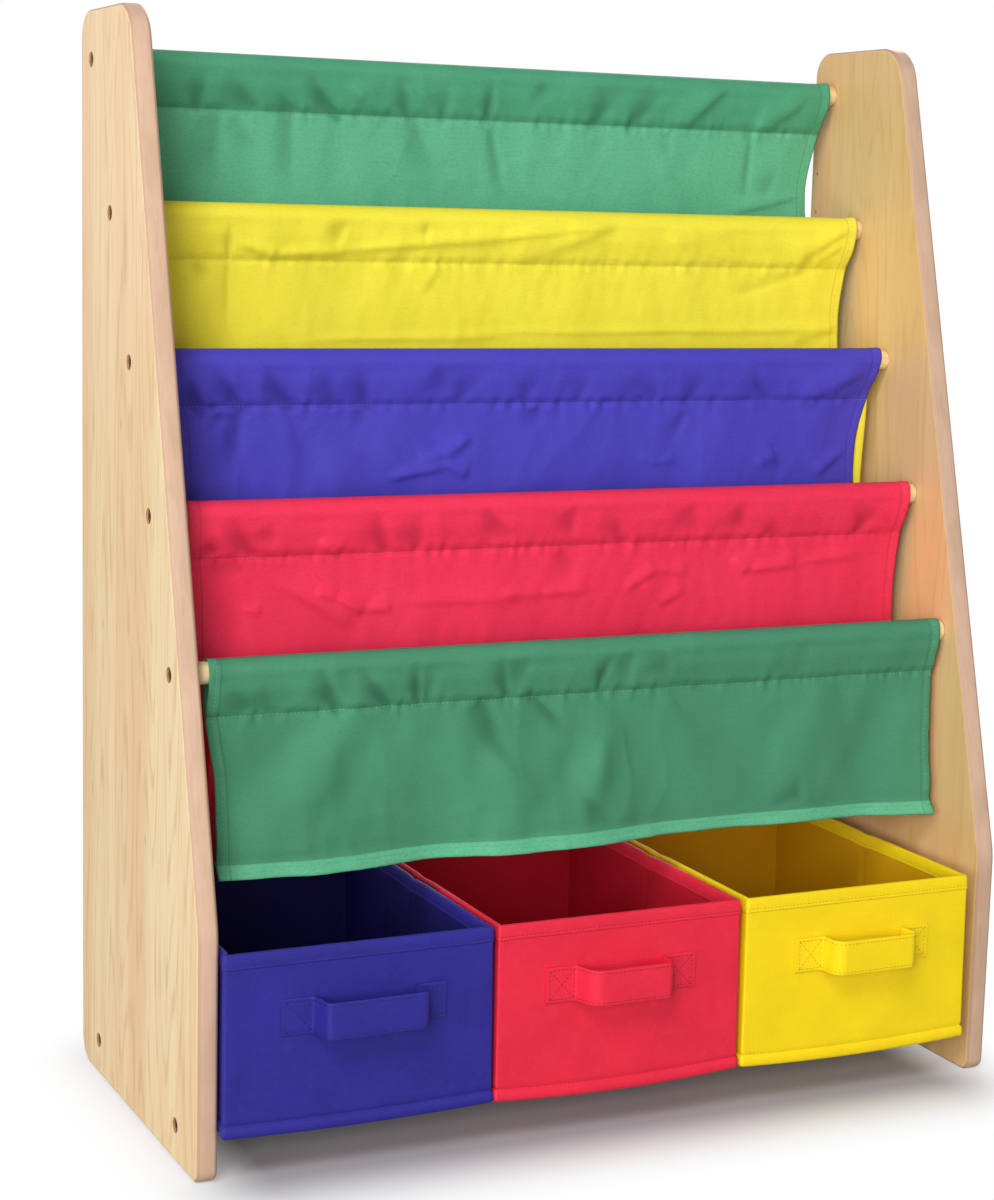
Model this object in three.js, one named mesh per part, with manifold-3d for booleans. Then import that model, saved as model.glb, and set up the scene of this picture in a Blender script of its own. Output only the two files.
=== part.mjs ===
import * as THREE from 'three';
import { mergeVertices } from 'three/addons/utils/BufferGeometryUtils.js';
import Module from 'manifold-3d';

// A children's bookshelf: two wooden side panels joined by wooden dowels, four cloth pockets
// hung between the dowels, a cloth flap over the bottom, and three cloth bins on two base rails.
// Lengths are in millimetres. +Z is up, the front looks along -Y, and left is -X.
// The panels' front bottom edge is y = 0 until the whole rack is centred on its own footprint.

// Driving dimensions

// Side panels
const rackWidth = 650;
const rackHeight = 800;
const panelThickness = 15;
const panelBottomDepth = 287;
const panelTopDepth = 123;
const kinkHeight = 176;
const kinkRadius = 60;
const topFrontRadius = 32;
const topBackRadius = 20;
const bottomFrontRadius = 10;
const bottomBackRadius = 20;
const edgeRound = 3;

// Dowels and base rails
const dowelRadius = 8;
const topDowelBackInset = 27.2;
const topDowelDrop = 36;
const lowestDowelFrontInset = 23.88;
const firstStepShare = 0.26087;
const dowelCount = 5;
const railHeight = 27;
const frontRailInset = 49;
const backRailInset = 46.6;

// Screws and holes
const screwHeadRadius = 5.4;
const screwHeadHeight = 2.6;
const screwHeadCrown = 0.8;
const screwShankRadius = 2.5;
const screwReach = 45;
const screwTipLength = 5;
const driverSocketRadius = 2.3;
const driverSocketDepth = 1.8;
const counterboreDepth = 4;
const anchorHoleRadius = 1.4;
const anchorHoleDepth = 8;
const anchorHoleInset = 9.5;
const anchorHoleDrop = 100;
const anchorHoleSpacing = 31.6;

// Slings
const clothThickness = 1.6;
const slingShift = 2.5;
const seamDrop = 32;
const seamTail = 6;
const pocketDrop = 146;
const pocketStandOff = 8;
const pocketPeel = 70;
const flapDrop = 145;
const flapForward = 5;
const edgeDrawIn = { green: 10.5, yellow: 6.5, blue: 14, red: 7, flap: 5 };
const drawInDrop = 78;
const foldDrop = 110;
const pocketFoldDepth = 2.2;
const pocketSagDepth = 1.6;
const flapFoldDepth = 4.6;
const flapHemWave = 0.8;

// Bins
const binCount = 3;
const binHeight = 130;
const binCornerRadius = 4;
const binFrontReach = 12;
const binBackInset = 19;
const skinThickness = 0.8;
const boardThickness = 1.4;
const boardEndMargin = 4;
const boardBottomMargin = 2;
const boardTopMargin = 3;
const creaseWidth = 5;
const bindingThickness = 0.8;
const bindingHeight = 11;
const baseBoardThickness = 3;
const baseBoardMargin = 1.2;

// Bin handles: the ends of their sewn patches and of their bows, from the bin's middle
const handleEndLeft = { blue: 60.5, red: 61.5, yellow: 55.5 };
const handleEndRight = { blue: 62, red: 60.5, yellow: 62.5 };
const handlePatchLeft = { blue: 36.5, red: 37, yellow: 31.5 };
const handlePatchRight = { blue: 39, red: 34, yellow: 38 };
const handleBowLeft = { blue: 32.5, red: 32.5, yellow: 32.5 };
const handleBowRight = { blue: 41.5, red: 31.5, yellow: 41 };
const handleHeight = 27;
const handleDrop = 48;
const handleThickness = 1.6;
const handleReach = 21;
const handleBendRadius = 6;

// Clearances
const seatGap = 0.3;
const slingSideRoom = 8.5;
const pocketBinRoom = 31.8;
const blueBinSideGap = 0.5;
const blueRedBinGap = 2;
const redYellowBinGap = 3.5;
const yellowBinSideGap = 17;
const cutOverrun = 2;
const mergeTolerance = 0.0001;

// Counts of facets
const dowelSides = 20;
const screwSides = 12;
const socketSides = 6;
const holeSides = 16;
const arcStep = Math.PI / 12;
const edgeRoundSteps = 3;
const sleeveSteps = 9;
const pocketBendSteps = 6;
const slingStations = 15;
const flapStations = 21;

// Colours and finishes
const maple = { color: 0xe3c795, roughness: 0.5, metalness: 0 };
const dowelWood = { color: 0xebd7a0, roughness: 0.6, metalness: 0 };
const darkSteel = { color: 0x4a3a30, roughness: 0.45, metalness: 0.7 };
const cardboard = { color: 0xb69a6e, roughness: 0.9, metalness: 0 };
const slingCloth = { green: 0x2f8f5b, yellow: 0xefe11e, blue: 0x41379f, red: 0xe0243f };
const binCloth = { blue: 0x3529a0, red: 0xe2202f, yellow: 0xf1d60a };
const clothFinish = { roughness: 0.75, metalness: 0 };
const feltFinish = { roughness: 0.9, metalness: 0 };

// Sizes and places worked out from the driving dimensions
const innerHalfWidth = rackWidth / 2 - panelThickness;
const binSideGaps = blueBinSideGap + blueRedBinGap + redYellowBinGap + yellowBinSideGap;
const binWidth = (2 * innerHalfWidth - binSideGaps) / binCount;
const binDepth = panelBottomDepth - binBackInset + binFrontReach;
const cover = makeCoverSizes();
const binFloorHeight = railHeight + dowelRadius + seatGap;
const topDowelHeight = rackHeight - topDowelDrop;
const lowestDowelHeight = binFloorHeight + binHeight + pocketBinRoom + pocketDrop;
const slopeShare = (lowestDowelHeight - kinkHeight) / (rackHeight - kinkHeight);
const lowestDowelPlace = (panelBottomDepth - panelTopDepth) * slopeShare + lowestDowelFrontInset;
const topDowelPlace = panelBottomDepth - topDowelBackInset;
const dowelStepBack = (topDowelPlace - lowestDowelPlace) / (dowelCount - 1);
const frontReach = binFrontReach + handleReach;
const footprintMiddle = (panelBottomDepth - frontReach) / 2;

const wasm = await Module();
wasm.setup();

// Geometry to a manifold solid and back
function toSolid(geometry) {
  const bare = geometry.clone();
  bare.deleteAttribute('normal');
  bare.deleteAttribute('uv');
  const merged = mergeVertices(bare, mergeTolerance);
  const vertProperties = Float32Array.from(merged.attributes.position.array);
  const triVerts = Uint32Array.from(merged.index.array);
  return new wasm.Manifold(new wasm.Mesh({ numProp: 3, vertProperties, triVerts }));
}

function toGeometry(solid) {
  const mesh = solid.getMesh();
  const geometry = new THREE.BufferGeometry();
  geometry.setAttribute('position', new THREE.BufferAttribute(mesh.vertProperties, 3));
  geometry.setIndex(new THREE.BufferAttribute(mesh.triVerts, 1));
  return geometry;
}

function cut(body, cutters) {
  const solid = cutters.reduce((rest, cutter) => rest.subtract(toSolid(cutter)), toSolid(body));
  return toGeometry(solid);
}

// A path through corners of [across, up, radius], each turned by an arc
function roundedPath(corners, closed) {
  const points = [];
  corners.forEach(([across, up, radius], i) => {
    const corner = new THREE.Vector2(across, up);
    const isEnd = !closed && (i === 0 || i === corners.length - 1);
    if (isEnd || radius === 0) {
      points.push(corner);
      return;
    }
    const before = corners.at(i - 1);
    const after = corners[(i + 1) % corners.length];
    const arriving = corner.clone().sub(new THREE.Vector2(before[0], before[1])).normalize();
    const leaving = new THREE.Vector2(after[0], after[1]).sub(corner).normalize();
    const turn = Math.atan2(arriving.cross(leaving), arriving.dot(leaving));
    const side = Math.sign(turn);
    const start = corner.clone().addScaledVector(arriving, -radius * Math.tan(Math.abs(turn) / 2));
    const inward = new THREE.Vector2(-arriving.y, arriving.x).multiplyScalar(side * radius);
    const centre = start.clone().add(inward);
    const steps = Math.max(2, Math.round(Math.abs(turn) / arcStep));
    for (let step = 0; step <= steps; step += 1) {
      points.push(start.clone().rotateAround(centre, (turn * step) / steps));
    }
  });
  return points;
}

// The two faces of a strip of cloth or webbing whose middle follows a path
function stripFaces(path, thickness) {
  const faces = { left: [], right: [] };
  path.forEach((point, i) => {
    const before = path[Math.max(i - 1, 0)];
    const after = path[Math.min(i + 1, path.length - 1)];
    const arriving = (i > 0 ? point.clone().sub(before) : after.clone().sub(point)).normalize();
    const leaving = (i < path.length - 1 ? after.clone().sub(point) : point.clone().sub(before)).normalize();
    const along = arriving.clone().add(leaving).normalize();
    const offset = new THREE.Vector2(-along.y, along.x).multiplyScalar(thickness / 2 / along.dot(leaving));
    faces.left.push(point.clone().add(offset));
    faces.right.push(point.clone().sub(offset));
  });
  return faces;
}

// A prism over an outline, with its bottom at a given height
function prism(outline, height, bottom) {
  const shape = new THREE.Shape(outline);
  const geometry = new THREE.ExtrudeGeometry(shape, { depth: height, bevelEnabled: false });
  return geometry.translate(0, 0, bottom);
}

function roundedRectangle(halfWidth, front, back, radius) {
  const corners = [
    [-halfWidth, front, radius],
    [halfWidth, front, radius],
    [halfWidth, back, radius],
    [-halfWidth, back, radius],
  ];
  return roundedPath(corners, true);
}

function block(width, depth, height, middle, front, bottom) {
  const geometry = new THREE.BoxGeometry(width, depth, height);
  return geometry.translate(middle, front + depth / 2, bottom + height / 2);
}

// A piece turned about an axis: profile points are [radius, distance along the axis]
function turned(profile, sides) {
  const points = profile.map(([radius, along]) => new THREE.Vector2(radius, along));
  return new THREE.LatheGeometry(points, sides);
}

function named(name, geometry, finish) {
  const mesh = new THREE.Mesh(geometry, new THREE.MeshStandardMaterial(finish));
  mesh.name = name;
  return mesh;
}

// Places of the dowels, each as { y, z }, from the top one down, then the front and the back rail
function dowelPlace(index) {
  const laterStepShare = (1 - firstStepShare) / (dowelCount - 2);
  const share = index === 0 ? 0 : firstStepShare + (index - 1) * laterStepShare;
  return {
    y: topDowelPlace - index * dowelStepBack,
    z: THREE.MathUtils.lerp(topDowelHeight, lowestDowelHeight, share),
  };
}

const dowelPlaces = Array.from({ length: dowelCount }, (_, index) => dowelPlace(index));
const frontRailPlace = { y: frontRailInset, z: railHeight };
const backRailPlace = { y: panelBottomDepth - backRailInset, z: railHeight };
const fixingPlaces = [...dowelPlaces, frontRailPlace, backRailPlace];

// Side panels: a board with a rounded outline and rounded edges, drilled for seven screws
function panelOutline() {
  const corners = [
    [0, 0, bottomFrontRadius],
    [panelBottomDepth, 0, bottomBackRadius],
    [panelBottomDepth, rackHeight, topBackRadius],
    [panelBottomDepth - panelTopDepth, rackHeight, topFrontRadius],
    [0, kinkHeight, kinkRadius],
  ];
  return roundedPath(corners, true);
}

function panelBoard() {
  const geometry = new THREE.ExtrudeGeometry(new THREE.Shape(panelOutline()), {
    depth: panelThickness - 2 * edgeRound,
    bevelThickness: edgeRound,
    bevelSize: edgeRound,
    bevelOffset: -edgeRound,
    bevelSegments: edgeRoundSteps,
  });
  geometry.translate(0, 0, edgeRound - panelThickness / 2);
  const across = new THREE.Vector3(1, 0, 0);
  const back = new THREE.Vector3(0, 1, 0);
  const up = new THREE.Vector3(0, 0, 1);
  return geometry.applyMatrix4(new THREE.Matrix4().makeBasis(back, up, across));
}

function screwHoleCutter(place, outward) {
  const bore = screwShankRadius + seatGap;
  const counterbore = screwHeadRadius + seatGap;
  const outerFace = panelThickness / 2;
  const profile = [
    [0, -outerFace - cutOverrun],
    [bore, -outerFace - cutOverrun],
    [bore, outerFace - counterboreDepth],
    [counterbore, outerFace - counterboreDepth],
    [counterbore, outerFace + cutOverrun],
    [0, outerFace + cutOverrun],
  ];
  const cutter = turned(profile, holeSides).rotateZ((-outward * Math.PI) / 2);
  return cutter.translate(0, place.y, place.z);
}

function anchorHoleCutter(height, outward) {
  const innerFace = -panelThickness / 2;
  const profile = [
    [0, innerFace - cutOverrun],
    [anchorHoleRadius, innerFace - cutOverrun],
    [anchorHoleRadius, innerFace + anchorHoleDepth],
    [0, innerFace + anchorHoleDepth],
  ];
  const cutter = turned(profile, screwSides).rotateZ((-outward * Math.PI) / 2);
  return cutter.translate(0, panelBottomDepth - anchorHoleInset, height);
}

function sidePanel(side, outward) {
  const anchorHoleHeight = rackHeight - anchorHoleDrop;
  const anchorHeights = [anchorHoleHeight, anchorHoleHeight - anchorHoleSpacing];
  const cutters = [
    ...fixingPlaces.map((place) => screwHoleCutter(place, outward)),
    ...anchorHeights.map((height) => anchorHoleCutter(height, outward)),
  ];
  const panel = named(`side_panel_${side}`, cut(panelBoard(), cutters), maple);
  panel.position.x = (outward * (rackWidth - panelThickness)) / 2;
  return panel;
}

// Dowels and rails: round bars between the panels, bored at both ends for the screws
function bar(name, place) {
  const half = innerHalfWidth - seatGap;
  const bore = screwShankRadius + seatGap;
  const boreEnd = rackWidth / 2 - counterboreDepth - screwReach - seatGap;
  const profile = [
    [0, -boreEnd],
    [bore, -boreEnd],
    [bore, -half],
    [dowelRadius, -half],
    [dowelRadius, half],
    [bore, half],
    [bore, boreEnd],
    [0, boreEnd],
  ];
  const mesh = named(name, turned(profile, dowelSides), dowelWood);
  mesh.rotation.z = Math.PI / 2;
  mesh.position.set(0, place.y, place.z);
  return mesh;
}

// Screws: a low round head with a hexagon socket, in the panel's counterbore, and a shank that
// ends inside the bar
function screw(name, place, outward) {
  const profile = [
    [0, -screwReach],
    [screwShankRadius, -screwReach + screwTipLength],
    [screwShankRadius, seatGap],
    [screwHeadRadius, seatGap],
    [screwHeadRadius, screwHeadHeight - screwHeadCrown],
    [screwHeadRadius - screwHeadCrown, screwHeadHeight],
    [0, screwHeadHeight],
  ];
  const socketProfile = [
    [0, screwHeadHeight - driverSocketDepth],
    [driverSocketRadius, screwHeadHeight - driverSocketDepth],
    [driverSocketRadius, screwHeadHeight + cutOverrun],
    [0, screwHeadHeight + cutOverrun],
  ];
  const body = cut(turned(profile, screwSides), [turned(socketProfile, socketSides)]);
  const mesh = named(name, body, darkSteel);
  mesh.rotation.z = (-outward * Math.PI) / 2;
  mesh.position.set(outward * (rackWidth / 2 - counterboreDepth), place.y, place.z);
  return mesh;
}

// Slings: each is one closed strip of cloth, given as sections across the rack from left to right.
// A section's points are measured from the axis of the dowel that carries the sleeve.

// Points of a sleeve's face at one radius, from its seam in front, over the dowel and down behind
function sleeveLoop(radius, seamHalfWidth, seamHeight) {
  const seamDistance = Math.hypot(seamHalfWidth, seamHeight);
  const seamAngle = Math.atan2(-seamHeight, seamHalfWidth);
  const backAngle = seamAngle + Math.acos(radius / seamDistance);
  const frontAngle = Math.PI - backAngle;
  const points = [];
  for (let step = 0; step <= sleeveSteps; step += 1) {
    const angle = THREE.MathUtils.lerp(frontAngle, backAngle, step / sleeveSteps);
    points.push(new THREE.Vector2(radius * Math.cos(angle), radius * Math.sin(angle)));
  }
  return points;
}

// The middle of a pocket's cloth from the seam down its back, round the bottom and up its front
function pocketPath(stepDown) {
  const bendRadius = (dowelStepBack - pocketStandOff) / 2;
  const bendHeight = bendRadius + clothThickness / 2 - stepDown - pocketDrop;
  const frontTop = -stepDown - seamDrop;
  const frontTopStandOff = clothThickness * 1.5 + seatGap;
  const backShares = [0.12, 0.35, 0.7];
  const frontShares = [0.5, 0.8, 1];
  const points = backShares.map((share) => {
    return new THREE.Vector2(0, THREE.MathUtils.lerp(-seamDrop, bendHeight, share));
  });
  for (let step = 0; step <= pocketBendSteps; step += 1) {
    const angle = (-Math.PI * step) / pocketBendSteps;
    const across = bendRadius * (Math.cos(angle) - 1);
    points.push(new THREE.Vector2(across, bendHeight + bendRadius * Math.sin(angle)));
  }
  frontShares.forEach((share) => {
    const height = THREE.MathUtils.lerp(bendHeight, frontTop, share);
    const peel = THREE.MathUtils.smoothstep(frontTop - height, 0, pocketPeel);
    const standOff = THREE.MathUtils.lerp(frontTopStandOff, pocketStandOff, peel);
    points.push(new THREE.Vector2(standOff - dowelStepBack, height));
  });
  return points;
}

// The middle of the flap's cloth from the seam down to the hem
function flapPath() {
  const shares = [0.1, 0.25, 0.45, 0.7, 1];
  return shares.map((share) => {
    return new THREE.Vector2(-flapForward * share ** 2, THREE.MathUtils.lerp(-seamDrop, -flapDrop, share));
  });
}

// The outer loop and the dowel's hole of a flat section
function slingSection(path) {
  const outerRadius = dowelRadius + seatGap + clothThickness;
  const innerRadius = dowelRadius + seatGap;
  const overDowel = sleeveLoop(outerRadius, clothThickness, seamDrop);
  const seam = [
    new THREE.Vector2(clothThickness, -seamDrop),
    new THREE.Vector2(clothThickness / 2, -seamDrop - seamTail),
  ];
  const seamFront = seam.map((point) => new THREE.Vector2(-point.x, point.y)).reverse();
  const faces = stripFaces(path, clothThickness);
  const outer = [...overDowel, ...seam, ...faces.left, ...faces.right.reverse(), ...seamFront].reverse();
  const hole = [
    ...sleeveLoop(innerRadius, 0, seamDrop - clothThickness * 2),
    new THREE.Vector2(0, clothThickness * 2 - seamDrop),
  ];
  return [outer, hole];
}

// Bends the flat sections across the rack: the edges draw in and soft folds grow below the seam
function slingGeometry(path, stations, fold) {
  const flat = slingSection(path);
  const lowest = Math.min(...path.map((point) => point.y));
  const frontEnd = path.at(-1);
  const halfWidth = innerHalfWidth - slingSideRoom;
  const sections = Array.from({ length: stations }, (_, station) => {
    const share = station / (stations - 1);
    const wave = Math.sin(2 * Math.PI * (fold.count * share + fold.phaseShare));
    const ripple = Math.sin(2 * Math.PI * (fold.rippleCount * share + fold.rippleShare));
    return flat.map((loop) => loop.map((point) => {
      const drop = Math.max(-seamDrop - point.y, 0);
      const drawIn = fold.drawIn * THREE.MathUtils.smoothstep(-point.y, 0, drawInDrop);
      const across = slingShift + (2 * share - 1) * (halfWidth - drawIn);
      const isFront = fold.hung && point.x < (frontEnd.x + path[0].x) / 2;
      const belowEnd = isFront ? Math.max(frontEnd.y - point.y, 0) : drop;
      const growth = THREE.MathUtils.smoothstep(belowEnd, 0, foldDrop);
      const depth = growth * (wave * fold.depth + (ripple * fold.depth) / 2);
      const lift = (ripple * fold.lift * drop) / (-seamDrop - lowest);
      return new THREE.Vector3(across, point.x + depth, point.y + (isFront ? lift * growth : lift));
    }));
  });
  return loft(sections);
}

// A closed solid through sections that have the same loops of points, outer loop first
function loft(sections) {
  const positions = [];
  const faces = [];
  const sizes = sections[0].map((loop) => loop.length);
  const sectionSize = sizes.reduce((total, size) => total + size, 0);
  sections.forEach((loops) => loops.flat().forEach((point) => positions.push(point.x, point.y, point.z)));
  for (let station = 0; station < sections.length - 1; station += 1) {
    let first = station * sectionSize;
    sizes.forEach((size) => {
      for (let i = 0; i < size; i += 1) {
        const here = first + i;
        const next = first + ((i + 1) % size);
        faces.push(here, next, next + sectionSize, here, next + sectionSize, here + sectionSize);
      }
      first += size;
    });
  }
  const capFaces = (loops) => {
    const outlines = loops.map((loop) => loop.map((point) => new THREE.Vector2(point.y, point.z)));
    return THREE.ShapeUtils.triangulateShape(outlines[0], outlines.slice(1));
  };
  const lastStart = (sections.length - 1) * sectionSize;
  capFaces(sections[0]).forEach(([a, b, c]) => faces.push(a, c, b));
  capFaces(sections.at(-1)).forEach(([a, b, c]) => faces.push(a + lastStart, b + lastStart, c + lastStart));
  const geometry = new THREE.BufferGeometry();
  geometry.setAttribute('position', new THREE.Float32BufferAttribute(positions, 3));
  geometry.setIndex(faces);
  return geometry;
}

function pocketSling(name, index, color, folds) {
  const upper = dowelPlaces[index];
  const lower = dowelPlaces[index + 1];
  const drawIn = edgeDrawIn[folds.name];
  const fold = { ...folds, drawIn, hung: true, depth: pocketFoldDepth, lift: pocketSagDepth };
  const geometry = slingGeometry(pocketPath(upper.z - lower.z), slingStations, fold);
  const mesh = named(name, geometry, { color, ...clothFinish });
  mesh.position.set(0, upper.y, upper.z);
  return mesh;
}

function flapSling(name, color, folds) {
  const place = dowelPlaces.at(-1);
  const drawIn = edgeDrawIn.flap;
  const fold = { ...folds, drawIn, hung: false, depth: flapFoldDepth, lift: flapHemWave };
  const mesh = named(name, slingGeometry(flapPath(), flapStations, fold), { color, ...clothFinish });
  mesh.position.set(0, place.y, place.z);
  return mesh;
}

// Bins: a cloth cover with a double wall, boards slipped between its skins, a folded binding
// sewn over the rim, a loose board on the floor and a cloth handle in front.
// Each bin is built with x = 0 in its middle, y = 0 on its front face and z = 0 under its floor.
function makeCoverSizes() {
  const slot = boardThickness + 2 * seatGap;
  const proud = bindingThickness + seatGap;
  return {
    slot,
    proud,
    wall: 2 * skinThickness + slot,
    halfWidth: binWidth / 2 - proud,
    depth: binDepth - 2 * proud,
    height: binHeight - proud,
  };
}

// The five board pockets of the cover: front, back and two on each side of the crease
function boardPlaces() {
  const { slot, wall, halfWidth, depth } = cover;
  const frontLength = 2 * (halfWidth - boardEndMargin);
  const sideLength = (depth - creaseWidth) / 2 - wall - boardEndMargin;
  const sideMiddle = halfWidth - skinThickness - slot / 2;
  const frontStart = wall + boardEndMargin;
  const backStart = depth - wall - boardEndMargin - sideLength;
  return [
    { name: 'front_board', width: frontLength, length: slot, middle: 0, start: skinThickness },
    { name: 'back_board', width: frontLength, length: slot, middle: 0, start: depth - skinThickness - slot },
    { name: 'left_front_board', width: slot, length: sideLength, middle: -sideMiddle, start: frontStart },
    { name: 'left_back_board', width: slot, length: sideLength, middle: -sideMiddle, start: backStart },
    { name: 'right_front_board', width: slot, length: sideLength, middle: sideMiddle, start: frontStart },
    { name: 'right_back_board', width: slot, length: sideLength, middle: sideMiddle, start: backStart },
  ];
}

function binCover() {
  const { wall, halfWidth, depth, height } = cover;
  const outside = prism(roundedRectangle(halfWidth, 0, depth, binCornerRadius), height, 0);
  const innerHalf = halfWidth - wall;
  const inside = block(2 * innerHalf, depth - 2 * wall, height, 0, wall, skinThickness);
  const slots = boardPlaces().map((place) => {
    return block(place.width, place.length, height, place.middle, place.start, boardBottomMargin);
  });
  return cut(outside, [inside, ...slots]);
}

function wallBoard(place) {
  const height = cover.height - boardBottomMargin - boardTopMargin;
  const width = place.width - 2 * seatGap;
  const length = place.length - 2 * seatGap;
  return block(width, length, height, place.middle, place.start + seatGap, boardBottomMargin + seatGap);
}

function rimBinding() {
  const { wall, halfWidth, depth, height, proud } = cover;
  const bottom = binHeight - bindingHeight;
  const cutBottom = bottom - cutOverrun;
  const outsideOffsetBy = (offset) => {
    return roundedRectangle(halfWidth + offset, -offset, depth + offset, binCornerRadius + offset);
  };
  const insideOffsetBy = (offset, blockHeight) => {
    const start = wall + offset;
    return block(2 * (halfWidth - start), depth - 2 * start, blockHeight, 0, start, cutBottom);
  };
  const shell = toSolid(prism(outsideOffsetBy(proud), bindingHeight, bottom));
  const channelHeight = height + seatGap - cutBottom;
  const channel = toSolid(prism(outsideOffsetBy(seatGap), channelHeight, cutBottom));
  const core = toSolid(insideOffsetBy(seatGap, channelHeight));
  const mouth = toSolid(insideOffsetBy(proud, bindingHeight + 2 * cutOverrun));
  return toGeometry(shell.subtract(channel.subtract(core)).subtract(mouth));
}

function baseBoard() {
  const { wall, halfWidth, depth } = cover;
  const margin = wall + baseBoardMargin;
  const bottom = skinThickness + seatGap;
  return block(2 * (halfWidth - margin), depth - 2 * margin, baseBoardThickness, 0, margin, bottom);
}

// The handle is a flat strap, sewn down at both ends and standing off the wall between them
function binHandle(colorName) {
  const patchLine = -seatGap - handleThickness / 2;
  const bowLine = handleThickness / 2 - handleReach;
  const corners = [
    [handleEndRight[colorName], patchLine, 0],
    [handlePatchRight[colorName], patchLine, handleThickness],
    [handleBowRight[colorName], bowLine, handleBendRadius],
    [-handleBowLeft[colorName], bowLine, handleBendRadius],
    [-handlePatchLeft[colorName], patchLine, handleThickness],
    [-handleEndLeft[colorName], patchLine, 0],
  ];
  const faces = stripFaces(roundedPath(corners, false), handleThickness);
  const bottom = binHeight - handleDrop - handleHeight / 2;
  return prism([...faces.left, ...faces.right.reverse()], handleHeight, bottom);
}

function bin(colorName, middle) {
  const felt = { color: binCloth[colorName], ...feltFinish };
  const group = new THREE.Group();
  group.add(named(`${colorName}_bin_cover`, binCover(), felt));
  group.add(named(`${colorName}_bin_binding`, rimBinding(), felt));
  group.add(named(`${colorName}_bin_handle`, binHandle(colorName), felt));
  group.add(named(`${colorName}_bin_base_board`, baseBoard(), felt));
  boardPlaces().forEach((place) => {
    group.add(named(`${colorName}_bin_${place.name}`, wallBoard(place), cardboard));
  });
  group.position.set(middle, -binFrontReach, binFloorHeight);
  return group;
}

// The whole rack
const rack = new THREE.Group();
const sides = [['left', -1], ['right', 1]];
sides.forEach(([side, outward]) => rack.add(sidePanel(side, outward)));

const dowelNames = dowelPlaces.map((_, index) => `sling_dowel_${index + 1}`);
[...dowelNames, 'base_rail_front', 'base_rail_back'].forEach((name, index) => {
  rack.add(bar(name, fixingPlaces[index]));
  sides.forEach(([side, outward]) => rack.add(screw(`${name}_screw_${side}`, fixingPlaces[index], outward)));
});

const slingFolds = [
  { name: 'green', count: 2.5, phaseShare: 0.1, rippleCount: 5, rippleShare: 0.3 },
  { name: 'yellow', count: 2, phaseShare: 0.65, rippleCount: 4.5, rippleShare: 0 },
  { name: 'blue', count: 3, phaseShare: 0.35, rippleCount: 5.5, rippleShare: 0.6 },
  { name: 'red', count: 2.2, phaseShare: 0.9, rippleCount: 5, rippleShare: 0.15 },
];
slingFolds.forEach((folds, index) => {
  rack.add(pocketSling(`${folds.name}_sling`, index, slingCloth[folds.name], folds));
});
const flapFolds = { count: 2.3, phaseShare: 0.62, rippleCount: 1, rippleShare: 0.5 };
rack.add(flapSling('green_front_flap', slingCloth.green, flapFolds));

const blueMiddle = -innerHalfWidth + blueBinSideGap + binWidth / 2;
const redMiddle = blueMiddle + binWidth + blueRedBinGap;
const yellowMiddle = redMiddle + binWidth + redYellowBinGap;
rack.add(bin('blue', blueMiddle), bin('red', redMiddle), bin('yellow', yellowMiddle));

rack.position.y = -footprintMiddle;
const bookshelf = new THREE.Group();
bookshelf.add(rack);

export default bookshelf;
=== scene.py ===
import math

import bmesh
import bpy
import numpy as np
from mathutils import Matrix, Vector


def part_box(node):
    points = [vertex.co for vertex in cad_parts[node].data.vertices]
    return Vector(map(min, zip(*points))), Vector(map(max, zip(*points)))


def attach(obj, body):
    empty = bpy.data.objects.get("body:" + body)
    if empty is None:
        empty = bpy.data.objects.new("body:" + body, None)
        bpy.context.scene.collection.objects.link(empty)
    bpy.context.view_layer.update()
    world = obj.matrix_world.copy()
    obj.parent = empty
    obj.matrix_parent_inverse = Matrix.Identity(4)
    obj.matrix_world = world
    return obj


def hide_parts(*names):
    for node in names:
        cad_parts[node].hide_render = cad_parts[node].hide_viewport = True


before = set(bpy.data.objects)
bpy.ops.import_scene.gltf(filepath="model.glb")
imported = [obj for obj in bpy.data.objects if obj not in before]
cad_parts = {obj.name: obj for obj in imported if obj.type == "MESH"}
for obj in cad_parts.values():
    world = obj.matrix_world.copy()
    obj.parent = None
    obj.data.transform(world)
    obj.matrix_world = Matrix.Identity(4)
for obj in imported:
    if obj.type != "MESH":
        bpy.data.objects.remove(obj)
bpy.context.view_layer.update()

mm = 0.001

# Studio
# A white floor and surround, large soft lights in front on the left, one of them high, weaker ones
# from the side and in front, and one behind. The camera stands in front of the rack, to its left.
focal_pixels = 2466.3
image_height = 1200
sensor_width = 36.0
camera_place = Vector((-829.4, -1655.4, 661.5)) * mm
camera_turn = math.radians(25.204)
camera_dip = math.radians(8.931)
camera_roll = math.radians(1.437)
rack_middle = Vector((0, 0, 0.4))
rack_foot = (0.27, 0.13, 1.0)
floor_half = 12.0
# where the shadow starts and ends, past the rack's foot, and the floor's greys in it, at its end and
# in the light that it throws back
shadow_start = -0.01
shadow_end = 0.11
shadow_grey = (0.5, 0.47, 0.5, 1)
shadow_end_grey = (0.95, 0.95, 0.95, 1)
bounce_grey = (0.5, 0.5, 0.5, 1)
white_paint = (1, 1, 1, 1)
surround_light = 0.18
# each lamp: its place and size in metres, and its power in watts
lamps = {
    "high_light": ((-2.0, -2.4, 3.0), 1.3, 68),
    "left_light": ((-2.9, -4.1, 1.35), 1.9, 134),
    "side_light": ((-2.2, -0.8, 0.5), 0.8, 14),
    "front_light": ((0.8, -3.6, 0.7), 1.6, 18),
    "back_light": ((2.2, 3.0, 2.6), 1.6, 50),
}

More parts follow.
